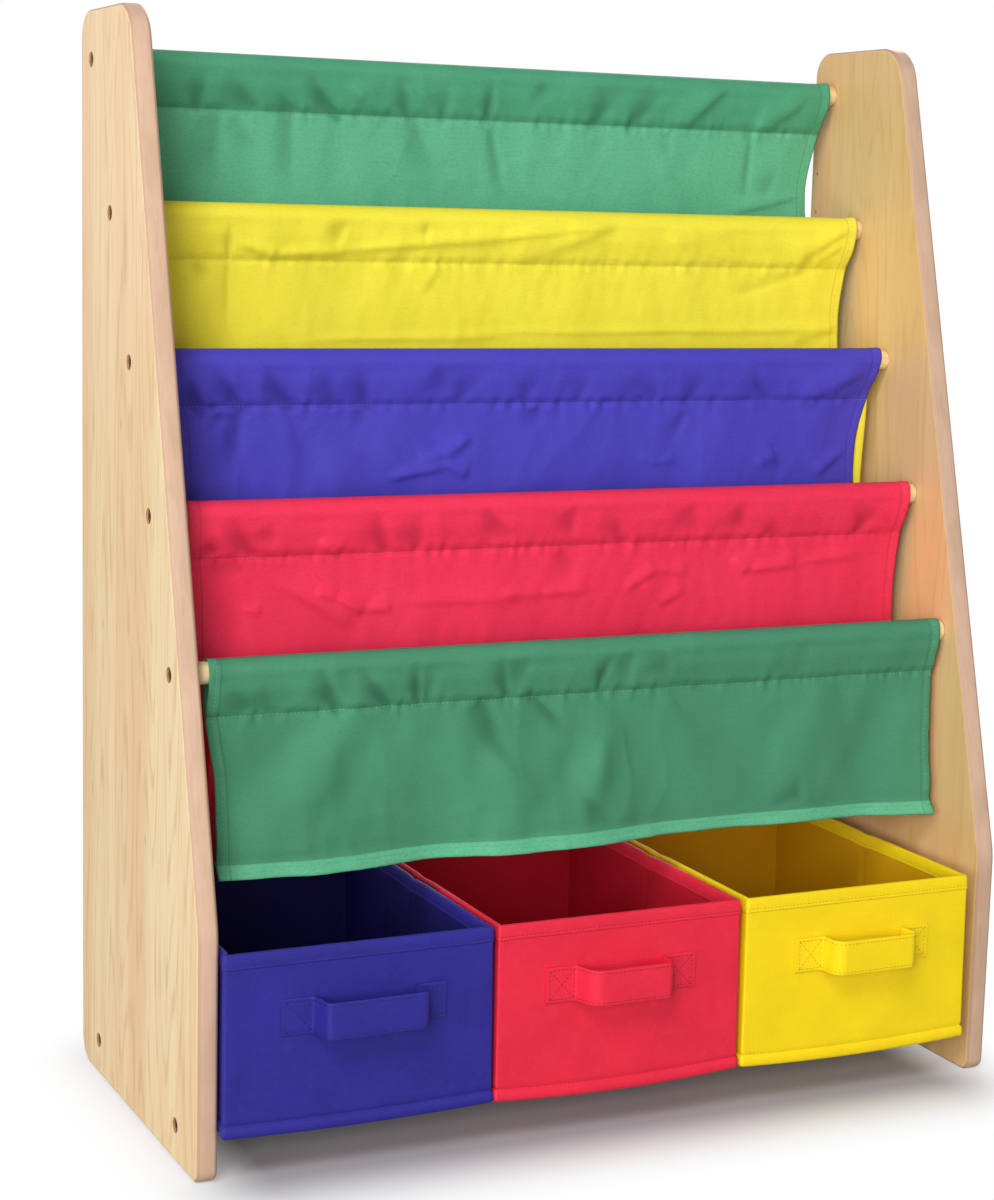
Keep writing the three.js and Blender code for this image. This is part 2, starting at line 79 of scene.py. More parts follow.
camera = bpy.data.objects.new("camera", bpy.data.cameras.new("camera"))
bpy.context.scene.collection.objects.link(camera)
bpy.context.scene.camera = camera
camera.data.sensor_width = sensor_width
camera.data.lens = sensor_width * focal_pixels / image_height
camera.matrix_world = (
    Matrix.Translation(camera_place)
    @ Matrix.Rotation(-camera_turn, 4, "Z")
    @ Matrix.Rotation(math.radians(90) - camera_dip, 4, "X")
    @ Matrix.Rotation(camera_roll, 4, "Z")
)

for name, (lamp_place, size, power) in lamps.items():
    data = bpy.data.lights.new(name, "AREA")
    data.shape = "SQUARE"
    data.size = size
    data.energy = power
    light = bpy.data.objects.new(name, data)
    light.location = lamp_place
    to_rack = rack_middle - Vector(lamp_place)
    light.rotation_euler = to_rack.to_track_quat("-Z", "Y").to_euler()
    bpy.context.scene.collection.objects.link(light)


class Wire:
    """A socket of a shader tree. Arithmetic on wires adds Math nodes."""

    def __init__(self, tree, socket=None):
        self.tree = tree
        self.socket = socket

    def node(self, kind, settings=None, values=None, output=0):
        """One node, with its settings, and a value, a link or a list of links for each socket"""
        node = self.tree.nodes.new(kind)
        for name, value in (settings or {}).items():
            setattr(node, name, value)
        for name, value in (values or {}).items():
            for part in value if isinstance(value, list) else [value]:
                if isinstance(part, Wire):
                    self.tree.links.new(part.socket, node.inputs[name])
                else:
                    node.inputs[name].default_value = part
        return Wire(self.tree, node.outputs[output] if len(node.outputs) else None)

    def maths(self, operation, *others):
        values = dict(enumerate([self, *others]))
        return self.node("ShaderNodeMath", {"operation": operation}, values)

    def __add__(self, other):
        return self.maths("ADD", other)

    def __mul__(self, other):
        return self.maths("MULTIPLY", other)

    def __sub__(self, other):
        return self.maths("SUBTRACT", other)

    def __rsub__(self, other):
        return self * -1.0 + other

    __radd__ = __add__
    __rmul__ = __mul__

    def between(self, low, high):
        """0 where this value is under low and 1 where it is over high, smoothly"""
        settings = {"interpolation_type": "SMOOTHSTEP"}
        return self.node("ShaderNodeMapRange", settings, {0: self, 1: low, 2: high})

    def choose(self, off, on):
        """One colour where this value is 0 and another where it is 1"""
        values = {0: self, 6: off, 7: on}
        return self.node("ShaderNodeMix", {"data_type": "RGBA"}, values, 2)

    def part(self, axis):
        """One coordinate of this place"""
        return self.node("ShaderNodeSeparateXYZ", None, {0: self}, axis)

    def stretched(self, x, y, z):
        """These coordinates, scaled along each axis"""
        return self.vectors("MULTIPLY", (x, y, z))

    def noise(self, scale, detail=2.0, roughness=0.5):
        values = {"Vector": self, "Scale": scale, "Detail": detail, "Roughness": roughness}
        return self.node("ShaderNodeTexNoise", None, values)

    def bump(self, strength, distance):
        values = {"Height": self, "Strength": strength, "Distance": distance}
        return self.node("ShaderNodeBump", None, values)

    def vectors(self, operation, other, output=0):
        """Vector Math on this value and another"""
        return self.node("ShaderNodeVectorMath", {"operation": operation}, {0: self, 1: other}, output)


def new_tree(name):
    """A material with an empty tree, and a wire to build it with"""
    material = bpy.data.materials.new(name)
    material.use_nodes = True
    material.node_tree.nodes.clear()
    return material, Wire(material.node_tree)


def object_place(tree):
    """The place of a point on the piece, in metres"""
    return tree.node("ShaderNodeTexCoord", None, None, 3)


floor_paint, tree = new_tree("studio_floor")
seen_plainly = tree.node("ShaderNodeLightPath", None, None, 0)
to_foot = tree.node("ShaderNodeVectorMath", {"operation": "ABSOLUTE"}, {0: object_place(tree)})
beyond = to_foot.vectors("SUBTRACT", rack_foot).vectors("MAXIMUM", (0, 0, 0))
far = beyond.vectors("LENGTH", (0, 0, 0), 1).between(shadow_start, shadow_end)
pale = seen_plainly.choose(bounce_grey, far.choose(shadow_grey, shadow_end_grey))
lit = tree.node("ShaderNodeBsdfDiffuse", None, {"Color": pale})
glow = tree.node("ShaderNodeEmission", None, {"Color": white_paint, "Strength": 1.0})
mixed = tree.node("ShaderNodeMixShader", None, {0: seen_plainly * far, 1: lit, 2: glow})
tree.node("ShaderNodeOutputMaterial", None, {"Surface": mixed})

floor_mesh = bpy.data.meshes.new("studio_floor")
corners = [(x * floor_half, y * floor_half, 0) for x, y in ((-1, -1), (1, -1), (1, 1), (-1, 1))]
floor_mesh.from_pydata(corners, [], [(0, 1, 2, 3)])
floor_mesh.materials.append(floor_paint)
floor = bpy.data.objects.new("studio_floor", floor_mesh)
bpy.context.scene.collection.objects.link(floor)

world = bpy.data.worlds.new("studio_surround")
bpy.context.scene.world = world
world.use_nodes = True
world.node_tree.nodes.clear()
tree = Wire(world.node_tree)
seen = tree.node("ShaderNodeLightPath", None, None, 0)
for ray in (3, 6):
    seen = seen.maths("MAXIMUM", tree.node("ShaderNodeLightPath", None, None, ray))
even = tree.node("ShaderNodeBackground", None, {"Color": white_paint, "Strength": surround_light})
white = tree.node("ShaderNodeBackground", None, {"Color": white_paint, "Strength": 1.0})
mixed = tree.node("ShaderNodeMixShader", None, {0: seen, 1: even, 2: white})
tree.node("ShaderNodeOutputWorld", None, {"Surface": mixed})
bpy.context.scene.view_settings.view_transform = "Standard"

# Side panels
# Two boards, 15 mm thick, faced with pale maple-look foil and edged in a pinker one whose rounded
# corners show a darker line. Seven counterbored holes take the screws, and two pilot holes are
# drilled in the inner face near the back edge for a wall strap.
rack_low, rack_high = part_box("side_panel_left")
panel_thickness = rack_high.x - rack_low.x
panel_front = rack_low.y
panel_back = rack_high.y
rack_height = rack_high.z
rack_half_width = -rack_low.x
panel_top_depth = 123 * mm
kink_height = 176 * mm
edge_round = 3 * mm
corner_rounds = {"bottom_front": 10 * mm, "bottom_back": 20 * mm, "top_back": 20 * mm}
top_front_round = 32 * mm
kink_round = 60 * mm
head_hole_radius = 5.7 * mm
head_hole_depth = 4 * mm
shank_hole_radius = 2.8 * mm
pilot_radius = 1.4 * mm
pilot_depth = 8 * mm
pilot_inset = 9.5 * mm
pilot_drops = (100 * mm, 131.6 * mm)
cut_overrun = 2 * mm
hole_sides = 32
bevel_steps = 6
arc_step = math.radians(5)
# how far in from a panel's inner face its painted shade reaches, a warmer and darker tone
inner_shade_start = 6 * mm
inner_shade_end = 9 * mm
bar_names = [f"sling_dowel_{i}" for i in range(1, 6)] + ["base_rail_front", "base_rail_back"]


def middle_of(node):
    """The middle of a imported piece's box"""
    low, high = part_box(node)
    return (low + high) / 2


def rounded_path(corners, closed=True):
    """An outline through corners of (across, up, radius), each turned by an arc"""
    points = []
    for i, (across, up, radius) in enumerate(corners):
        corner = Vector((across, up))
        if not closed and i in (0, len(corners) - 1):
            points.append(corner)
            continue
        arriving = (corner - Vector(corners[i - 1][:2])).normalized()
        leaving = (Vector(corners[(i + 1) % len(corners)][:2]) - corner).normalized()
        turn = math.atan2(arriving.cross(leaving), arriving.dot(leaving))
        start = corner - arriving * radius * math.tan(abs(turn) / 2)
        inward = Vector((-arriving.y, arriving.x)) * math.copysign(radius, turn)
        centre = start + inward
        count = max(2, round(abs(turn) / arc_step))
        for k in range(count + 1):
            arm = Matrix.Rotation(turn * k / count, 2) @ (start - centre)
            points.append(centre + arm)
    return points


def new_piece(name, mesh, *materials):
    """An object at the origin, linked to the scene, with its materials in order"""
    for material in materials:
        mesh.materials.append(material)
    piece = bpy.data.objects.new(name, mesh)
    bpy.context.scene.collection.objects.link(piece)
    return piece


def made_plain(piece):
    """Bakes a piece's modifiers into its mesh"""
    bpy.context.view_layer.update()
    shown = piece.evaluated_get(bpy.context.evaluated_depsgraph_get())
    mesh = bpy.data.meshes.new_from_object(shown)
    piece.modifiers.clear()
    piece.data = mesh
    return piece


def hole_cutter(cutter, place, radius, start, end):
    """Adds a cylinder along X between two places to a cutter"""
    length = abs(end - start)
    middle = Vector(((start + end) / 2, place.y, place.z))
    turn = Matrix.Rotation(math.radians(90), 4, "Y")
    bmesh.ops.create_cone(
        cutter,
        cap_ends=True,
        segments=hole_sides,
        radius1=radius,
        radius2=radius,
        depth=length,
        matrix=Matrix.Translation(middle) @ turn,
    )


def paint(code):
    """A colour written as six hexadecimal digits, as the linear values that a shader takes"""
    parts = [int(code[i : i + 2], 16) / 255 for i in (0, 2, 4)]
    linear = [p / 12.92 if p <= 0.04045 else ((p + 0.055) / 1.055) ** 2.4 for p in parts]
    return (*linear, 1.0)


def surface(tree, values):
    """Ends a material's tree in one Principled shader with these values"""
    shader = tree.node("ShaderNodeBsdfPrincipled", None, values)
    tree.node("ShaderNodeOutputMaterial", None, {"Surface": shader})


def toned(base, *tones):
    """A colour with others laid over it, each as where it shows, how strongly, and its code"""
    for shown, strength, code in tones:
        base = (shown * strength).choose(base, paint(code))
    return base


maple, tree = new_tree("maple_board")
place = object_place(tree)
off_centre = place.part(0).maths("ABSOLUTE")
off_middle = (off_centre - (rack_half_width - panel_thickness / 2)).maths("ABSOLUTE")
edge_share = off_middle * (2 / panel_thickness)
is_edge = 1 - edge_share.between(0.93, 0.985)
round_line = edge_share.between(0.6, 0.8) * is_edge
broad = place.stretched(9, 1, 0.05).noise(38, 3, 0.55)
warm = place.stretched(7, 1, 0.03).noise(16, 1, 0.5)
grain = place.stretched(30, 1, 0.012).noise(900, 4, 0.65)
figure = place.stretched(12, 1, 0.09).noise(150, 3, 0.6)
fleck_place = place.stretched(40, 1, 0.3)
fleck_cells = {"Vector": fleck_place, "Scale": 42.0, "Randomness": 1.0}
fleck_near = tree.node("ShaderNodeTexVoronoi", None, fleck_cells, 0)
fleck_pick = tree.node("ShaderNodeTexVoronoi", None, fleck_cells, 1)
picked = tree.node("ShaderNodeSeparateColor", None, {0: fleck_pick}, 0).between(0.86, 0.9)
fleck = (1 - fleck_near.between(0.03, 0.09)) * picked
contour = place.stretched(8, 8, 0.7).noise(1.7, 1.2, 0.5)
arches = (contour * 150.0).maths("SINE").between(0.35, 1.0)
board = toned(
    broad.between(0.36, 0.66).choose(paint("f2daae"), paint("ebcd9e")),
    (warm.between(0.45, 0.7), 0.75, "e9c296"),
    (figure.between(0.5, 0.72), 0.34, "d8b078"),
    (grain.between(0.42, 0.75), 0.32, "d2a870"),
    (arches * figure.between(0.35, 0.6), 0.34, "c08f56"),
    # painted shade and reflected colour: the inner faces, between the panels, are warmer and darker
    (1 - off_centre.between(rack_half_width - inner_shade_end, rack_half_width - inner_shade_start), 0.6, "d2a25c"),
    (fleck, 0.5, "b98f60"),
)
edge_grain = place.stretched(1, 0.3, 0.04).noise(420, 3, 0.6)
edge_cloud = place.stretched(1, 1, 0.5).noise(45, 2, 0.5)
edge = toned(
    edge_cloud.between(0.35, 0.65).choose(paint("cda98f"), paint("c2a085")),
    (edge_grain.between(0.45, 0.75), 0.4, "b58d72"),
    (round_line, 0.8, "ab8670"),
)
surface(tree, {
    "Base Color": is_edge.choose(board, edge),
    "Roughness": 0.42 + grain * 0.14,
    "Normal": (grain * 0.7 + figure * 0.3).bump(0.12, 0.0004),
    "Coat Weight": 0.12,
    "Coat Roughness": 0.35,
})

drilled, tree = new_tree("drilled_board")
speckle = object_place(tree).noise(1400, 3, 0.7)
surface(tree, {
    "Base Color": speckle.between(0.3, 0.7).choose(paint("b08560"), paint("94694a")),
    "Roughness": 0.9,
    "Normal": speckle.bump(0.5, 0.0003),
})

for side, outward in (("left", -1), ("right", 1)):
    outer = outward * rack_half_width
    inner = outer - outward * panel_thickness
    outline = rounded_path([
        (panel_front, 0, corner_rounds["bottom_front"]),
        (panel_back, 0, corner_rounds["bottom_back"]),
        (panel_back, rack_height, corner_rounds["top_back"]),
        (panel_back - panel_top_depth, rack_height, top_front_round),
        (panel_front, kink_height, kink_round),
    ])
    form = bmesh.new()
    rim = [form.verts.new((min(outer, inner), p.x, p.y)) for p in outline]
    face = form.faces.new(rim)
    pushed = bmesh.ops.extrude_face_region(form, geom=[face])
    moved = [v for v in pushed["geom"] if isinstance(v, bmesh.types.BMVert)]
    bmesh.ops.translate(form, verts=moved, vec=(panel_thickness, 0, 0))
    bmesh.ops.recalc_face_normals(form, faces=form.faces)
    sharp = [e for e in form.edges if abs(e.verts[0].co.x - e.verts[1].co.x) < mm / 100]
    bmesh.ops.bevel(
        form, geom=sharp, offset=edge_round, segments=bevel_steps, profile=0.5, affect="EDGES"
    )
    for face in form.faces:
        face.smooth = abs(face.normal.x) < 0.999
    mesh = bpy.data.meshes.new(f"side_panel_{side}_board")
    form.to_mesh(mesh)
    form.free()
    panel = new_piece(f"side_panel_{side}_board", mesh, maple, drilled)

    cutter = bmesh.new()
    for name in bar_names:
        hole = middle_of(name)
        floor_of_hole = outer - outward * head_hole_depth
        hole_cutter(cutter, hole, head_hole_radius, outer + outward * cut_overrun, floor_of_hole)
        hole_cutter(cutter, hole, shank_hole_radius, outer, inner - outward * cut_overrun)
    for drop in pilot_drops:
        pilot = Vector((0, panel_back - pilot_inset, rack_height - drop))
        pilot_end = inner + outward * pilot_depth
        hole_cutter(cutter, pilot, pilot_radius, inner - outward * cut_overrun, pilot_end)
    cutter_mesh = bpy.data.meshes.new("hole_cutter")
    cutter.to_mesh(cutter_mesh)
    cutter.free()
    cutter_piece = new_piece("hole_cutter", cutter_mesh)
    drill = panel.modifiers.new("holes", "BOOLEAN")
    drill.object = cutter_piece
    drill.operation = "DIFFERENCE"
    drill.solver = "EXACT"
    drill.use_self = True
    made_plain(panel)
    bpy.data.objects.remove(cutter_piece)
    hole_places = [(middle_of(name).yz, head_hole_radius) for name in bar_names]
    for drop in pilot_drops:
        pilot = Vector((panel_back - pilot_inset, rack_height - drop))
        hole_places.append((pilot, pilot_radius))
    for face in panel.data.polygons:
        flat = Vector((face.center.y, face.center.z))
        inside = any((flat - p).length < r + mm / 10 for p, r in hole_places)
        if inside and min(abs(face.center.x - outer), abs(face.center.x - inner)) > mm / 10:
            face.material_index = 1
            face.use_smooth = abs(face.normal.x) < 0.5
    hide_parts(f"side_panel_{side}")
    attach(panel, "rack")

# Dowels and base rails
# Seven round bars of pale softwood, sanded and bare, 16 mm across. Five carry the cloth, and the
# bins stand on the lower two. Each end is bored for its screw.
bar_sides = 64
sharp_turn = math.radians(40)
end_round = 0.7 * mm
bore_depth = 34 * mm

bare_wood, tree = new_tree("dowel_wood")
place = object_place(tree)
grain = place.stretched(0.02, 1, 1).noise(700, 4, 0.6)
ring = place.stretched(0.05, 1, 1).noise(120, 2, 0.5)
sapwood = ring.between(0.35, 0.7).choose(paint("efdcae"), paint("e3c88f"))
surface(tree, {
    "Base Color": toned(sapwood, (grain.between(0.45, 0.75), 0.4, "d2b176")),
    "Roughness": 0.55 + grain * 0.15,
    "Normal": grain.bump(0.2, 0.0003),
})


def turned(name, profile, sides, *materials):
    """A piece turned about the X axis from a closed profile of (along, radius) points"""
    form = bmesh.new()
    verts = [form.verts.new((along, radius, 0)) for along, radius in profile]
    edges = [form.edges.new(pair) for pair in zip(verts, verts[1:])]
    bmesh.ops.spin(
        form,
        geom=verts + edges,
        cent=(0, 0, 0),
        axis=(1, 0, 0),
        angle=math.radians(360),
        steps=sides,
    )
    bmesh.ops.remove_doubles(form, verts=form.verts, dist=mm / 1000)
    bmesh.ops.recalc_face_normals(form, faces=form.faces)
    mesh = bpy.data.meshes.new(name)
    form.to_mesh(mesh)
    form.free()
    mesh.shade_smooth()
    mesh.set_sharp_from_angle(angle=sharp_turn)
    return new_piece(name, mesh, *materials)


for name in bar_names:
    low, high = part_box(name)
    half = high.x
    radius = (high.z - low.z) / 2
    profile = [
        (half - bore_depth, 0),
        (half - bore_depth, shank_hole_radius),
        (half, shank_hole_radius),
        (half, radius - end_round),
        (half - end_round * 0.3, radius - end_round * 0.3),
        (half - end_round, radius),
    ]
    profile += [(-along, out) for along, out in reversed(profile)]
    bar = turned(f"{name}_bar", profile, bar_sides, bare_wood)
    bar.data.transform(Matrix.Translation((0, middle_of(name).y, middle_of(name).z)))
    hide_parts(name)
    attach(bar, "rack")

# Screws
# Fourteen dark bronzed screws with low round heads and hexagon sockets, each sunk in its
# counterbore and driven into a bar's end. One tree makes a screw and sets it at every hole.
head_radius = 5.4 * mm
head_height = 2.6 * mm
head_lift = 0.3 * mm
socket_radius = 2.3 * mm
socket_depth = 1.8 * mm
shank_radius = 2.5 * mm
screw_reach = 45 * mm
# the socket's cutter stands proud of the head by this much
cutter_proud = 0.5 * mm
head_sides = 32
socket_sides = 6
shank_sides = 20

bronzed, tree = new_tree("screw_steel")
scuff = object_place(tree).noise(900, 3, 0.6)
surface(tree, {
    "Base Color": scuff.between(0.3, 0.75).choose(paint("4b372b"), paint("8a6a50")),
    "Metallic": 0.75,
    "Roughness": 0.32 + scuff * 0.25,
    "Normal": scuff.bump(0.15, 0.0002),
})


def node_tree(name, sizes):
    """A geometry tree with a geometry input, and an input for each named size"""
    tree = bpy.data.node_groups.new(name, "GeometryNodeTree")
    tree.interface.new_socket("Geometry", in_out="INPUT", socket_type="NodeSocketGeometry")
    for size in sizes:
        tree.interface.new_socket(size, in_out="INPUT", socket_type="NodeSocketFloat")
    tree.interface.new_socket("Geometry", in_out="OUTPUT", socket_type="NodeSocketGeometry")
    return tree


def run_tree(piece, tree, sizes):
    """Puts a tree on a piece with these sizes, and bakes the result into the piece's mesh"""
    modifier = piece.modifiers.new(tree.name, "NODES")
    modifier.node_group = tree
    for socket in tree.interface.items_tree:
        if socket.in_out == "INPUT" and socket.name in sizes:
            modifier[socket.identifier] = sizes[socket.name]
    return made_plain(piece)


def given_to(group):
    """The inputs of a tree, by name"""
    outputs = group.nodes.new("NodeGroupInput").outputs
    return {socket.name: Wire(group, socket) for socket in outputs if socket.name}


screw_sizes = {
    "Head radius": head_radius,
    "Head height": head_height - head_lift,
    "Socket radius": socket_radius,
    "Socket depth": socket_depth,
    "Shank radius": shank_radius,
    "Reach": screw_reach,
}
screw_tree = node_tree("screw_at_each_hole", screw_sizes)
tree = Wire(screw_tree)
size = given_to(screw_tree)


def upright(radius, depth, lift, sides):
    """A cylinder whose middle stands at a height"""
    sizes = {"Vertices": sides, "Radius": radius, "Depth": depth}
    cylinder = tree.node("GeometryNodeMeshCylinder", None, sizes)
    shift = tree.node("ShaderNodeCombineXYZ", None, {2: lift})
    return tree.node("GeometryNodeTransform", None, {"Geometry": cylinder, "Translation": shift})


head = upright(size["Head radius"], size["Head height"], size["Head height"] * 0.5, head_sides)
cutter_depth = size["Socket depth"] + 2 * cutter_proud
cutter_lift = size["Head height"] - size["Socket depth"] * 0.5 + cutter_proud
socket = upright(size["Socket radius"], cutter_depth, cutter_lift, socket_sides)
shank = upright(size["Shank radius"], size["Reach"], size["Reach"] * -0.5, shank_sides)
cut = tree.node("GeometryNodeMeshBoolean", {"operation": "DIFFERENCE"}, {0: head, 1: socket})
screw = tree.node("GeometryNodeJoinGeometry", None, {0: [cut, shank]})


def mark_of(tree, name):
    """The vector marked on each point under a name"""
    return tree.node("GeometryNodeInputNamedAttribute", {"data_type": "FLOAT_VECTOR"}, {0: name})


def set_on_points(tree, points, shape, turn, material):
    """Ends a tree in one real shape on every point, turned and given its material"""
    spots = tree.node("GeometryNodeMeshToPoints", None, {"Mesh": points})
    values = {"Points": spots, "Instance": shape, "Rotation": turn}
    placed = tree.node("GeometryNodeInstanceOnPoints", None, values)
    real = tree.node("GeometryNodeRealizeInstances", None, {0: placed})
    finished = tree.node("GeometryNodeSetMaterial", None, {"Geometry": real, "Material": material})
    tree.node("NodeGroupOutput", None, {0: finished})


outward = {"Vector": mark_of(tree, "outward")}
turn = tree.node("FunctionNodeAlignRotationToVector", {"axis": "Z"}, outward)
set_on_points(tree, size["Geometry"], screw, turn, bronzed)


def marked_points(name, places, marks):
    """A mesh of loose points, with a vector at each point for each mark"""
    mesh = bpy.data.meshes.new(name)
    mesh.from_pydata([tuple(p) for p in places], [], [])
    for mark, vectors in marks.items():
        layer = mesh.attributes.new(mark, "FLOAT_VECTOR", "POINT")
        layer.data.foreach_set("vector", np.array(vectors, np.float32).ravel())
    return new_piece(name, mesh)


screw_places, screw_outwards = [], []
for name in bar_names:
    for outward in (-1, 1):
        along = outward * (rack_half_width - head_hole_depth + head_lift)
        screw_places.append((along, middle_of(name).y, middle_of(name).z))
        screw_outwards.append((outward, 0, 0))
screws = marked_points("panel_screws", screw_places, {"outward": screw_outwards})
run_tree(screws, screw_tree, screw_sizes)
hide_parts(*[f"{name}_screw_{side}" for name in bar_names for side in ("left", "right")])
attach(screws, "rack")

# Slings
# Each pocket is one length of fine woven polyester. Its top goes over a dowel and is stitched back
# on itself, it hangs as the pocket's back wall, turns up at the bottom, and its front edge is sewn
# behind the next sleeve. The sides are hemmed, and the cloth creases where the seam pulls it.
cloth_thickness = 0.6 * mm
sleeve_radius = 9.4 * mm
sling_half_width = 301.5 * mm
sling_shift = 2.5 * mm
seam_drop = 32 * mm
seam_gap = 0.9 * mm
seam_tail = 6 * mm
pocket_drop = 146 * mm
pocket_stand_off = 8 * mm
pocket_peel = 70 * mm
fold_drop = 110 * mm
hem_width = 8 * mm
hem_line = 5.2 * mm
hem_offset = 0.8 * mm
# the columns of points in a hem, as distances in from the cloth's edge
hem_places = np.array([6.8, 6.0, 5.2, 4.4, 2.6, 1.0, 0]) * mm
column_gap = 2.2 * mm
row_gap = 2.0 * mm
wide_row_gap = 6.0 * mm
fine_length = 85 * mm
over_steps = 40
bend_steps = 25
front_steps = 12
# the back wall leaves the seam's line and reaches the dowel's middle plane at these drops under it
ease_start = 8 * mm
ease_end = 20 * mm
bend_lift = 0.8 * mm
front_stand_off = 2.6 * mm


def smooth(value, low, high):
    """0 where a value is under low and 1 where it is over high, smoothly"""
    share = np.clip((value - low) / (high - low), 0, 1)
    return share * share * (3 - 2 * share)


def unrolled(points, closed=False):
    """Lengths along a line of points, and back to the first if it is closed"""
    line = np.concatenate([points, points[:1]]) if closed else points
    return np.concatenate([[0], np.cumsum(np.linalg.norm(np.diff(line, axis=0), axis=1))])


def read_at(at, lengths, values):
    """The values at some lengths along a line, from those at its points"""
    return np.stack([np.interp(at, lengths, column) for column in values.T], 1)


def resampled(path, gap):
    """Points at even steps of about one gap along a path"""
    path = np.array(path, float)
    lengths = unrolled(path)
    count = max(2, round(lengths[-1] / gap))
    return read_at(np.linspace(0, lengths[-1], count + 1), lengths, path)


def sleeve_path(front_seam, back_seam):
    """From the seam behind the dowel, up over it, and down its front to the seam again"""
    def touch(seam):
        """The angle at which a line from the seam meets the sleeve's round top"""
        reach = math.hypot(seam, seam_drop)
        return math.atan2(-seam_drop, seam) + math.acos(sleeve_radius / reach)

    back_angle = touch(back_seam)
    front_angle = math.pi - touch(-front_seam)
    turn = np.linspace(back_angle, front_angle, over_steps)
    over = [(sleeve_radius * math.cos(a), sleeve_radius * math.sin(a)) for a in turn]
    tail = [(back_seam, -seam_drop - seam_tail), (back_seam, -seam_drop)]
    return [*tail, *over, (front_seam, -seam_drop)]


def pocket_path(step_down, step_back):
    """A pocket's wall from the seam down its back, round the bottom and up its front"""
    bend = (step_back - pocket_stand_off) / 2
    bend_height = bend + bend_lift - step_down - pocket_drop
    front_top = -step_down - seam_drop
    wall = [(-seam_gap, -seam_drop), (-seam_gap * 0.4, -seam_drop - ease_start)]
    wall += [(0, -seam_drop - ease_end), (0, bend_height)]
    for angle in np.linspace(0, math.pi, bend_steps)[1:]:
        wall.append((bend * (math.cos(angle) - 1), bend_height - bend * math.sin(angle)))
    for share in np.linspace(0, 1, front_steps)[1:]:
        height = bend_height + (front_top - bend_height) * share
        peel = float(smooth(front_top - height, 0, pocket_peel))
        stand_off = front_stand_off + (pocket_stand_off - front_stand_off) * peel
        wall.append((stand_off - step_back, height))
    return wall


# a crease wider than this, in millimetres, is a soft fold, and one more level than this runs across
broad_width = 10
level_share = 0.75
# how near the seam, in millimetres, a crease ends over it or starts under it
sleeve_margin = 3
to_seam_margin = 6
from_seam_margin = 12
# the shares of a crease's length at which it starts, is at its full depth, starts to fade and ends
broad_taper = (-0.4, 0.5, 0.5, 1.4)
level_taper = (-0.15, 0.25, 0.85, 1.12)
to_seam_taper = (-0.1, 0.85, 1.02, 1.2)
sleeve_taper = (-0.1, 0.5, 0.5, 1.2)
from_seam_taper = (-0.12, 0.08, 0.4, 1.1)
lower_taper = (-0.12, 0.5, 0.4, 1.1)
level_height = 0.8
# how wide a crease's two flanks are, as shares of its width
level_flanks = (0.75, 1.6)
lower_flanks = (1.5, 0.7)
sleeve_steep_flank = 0.6
sleeve_end_flank = 0.5
sleeve_swelling = 1.2


def creased(x, drop, creases):
    """How far the creases push the cloth back. Each is (x, drop, x, drop, width, depth) in mm. One
    that runs down is a groove, steep on its right. In the sleeve it deepens down to the seam, and
    under it fades away from it. One that runs across is a ridge, steep below. Wide ones are soft."""
    depth = np.zeros_like(x)
    seam = seam_drop / mm
    for x1, d1, x2, d2, width, push in creases:
        along = np.array((x2 - x1, d2 - d1)) * mm
        length = np.linalg.norm(along)
        along /= length
        from_start = np.stack([x - x1 * mm, drop - d1 * mm], -1)
        share = from_start @ along / length
        off = from_start @ np.array((-along[1], along[0]))
        inside = np.clip(share, 0, 1)
        widening = 0.6 + 0.6 * inside
        if width > broad_width:
            taper = broad_taper
            reach = widening
        elif abs(along[0]) > level_share:
            taper = level_taper
            push *= -level_height
            reach = widening * np.where(off * np.sign(along[0]) > 0, *level_flanks)
        elif d2 < seam + sleeve_margin:
            taper = to_seam_taper if d2 > seam - to_seam_margin else sleeve_taper
            gentle_flank = sleeve_end_flank + sleeve_swelling * np.sin(math.pi * inside)
            reach = np.where(off > 0, gentle_flank, sleeve_steep_flank)
        else:
            taper = from_seam_taper if d1 < seam + from_seam_margin else lower_taper
            reach = widening * np.where(off > 0, *lower_flanks)
        start, full, fading, end = taper
        shown = smooth(share, start, full) * (1 - smooth(share, fading, end))
        depth += push * mm * shown * np.exp(-((off / (width * mm * reach)) ** 2))
    return depth


wave_count = 22
wave_spread = (0.5, 1.8)
wave_lean = 0.5
patch_edges = (-0.4, 0.9)
ridge_blunting = 0.12
ridge_narrowness = 1.8
patch_spread = 3


def rumpled(x, drop, seed, size, depth):
    """Low soft unevenness, as a sum of seeded waves that run mostly up and down the cloth"""
    chance = np.random.default_rng(seed)
    total = np.zeros_like(x)
    for _ in range(wave_count):
        length = size * chance.uniform(*wave_spread)
        lean = chance.normal(0, wave_lean)
        turns = (x * math.cos(lean) + drop * math.sin(lean)) / length
        total += np.sin(2 * math.pi * turns + chance.uniform(0, 2 * math.pi))
    return total * depth / math.sqrt(wave_count)


def buckled(x, drop, seed, size, depth):
    """A random net of soft ridges, stronger in some places than others"""
    net = np.abs(rumpled(x, drop, seed, size, 1.0)) + ridge_blunting
    patch = smooth(rumpled(x, drop, seed + 1, size * patch_spread, 1.0), *patch_edges)
    return -depth * patch * np.exp(-ridge_narrowness * net)


def hemmed_columns(half):
    """Distances across a sling, closer together at its hems"""
    inner = resampled([(-half + hem_width,), (half - hem_width,)], column_gap)[:, 0]
    return np.concatenate([(-half + hem_places)[::-1], inner, half - hem_places])


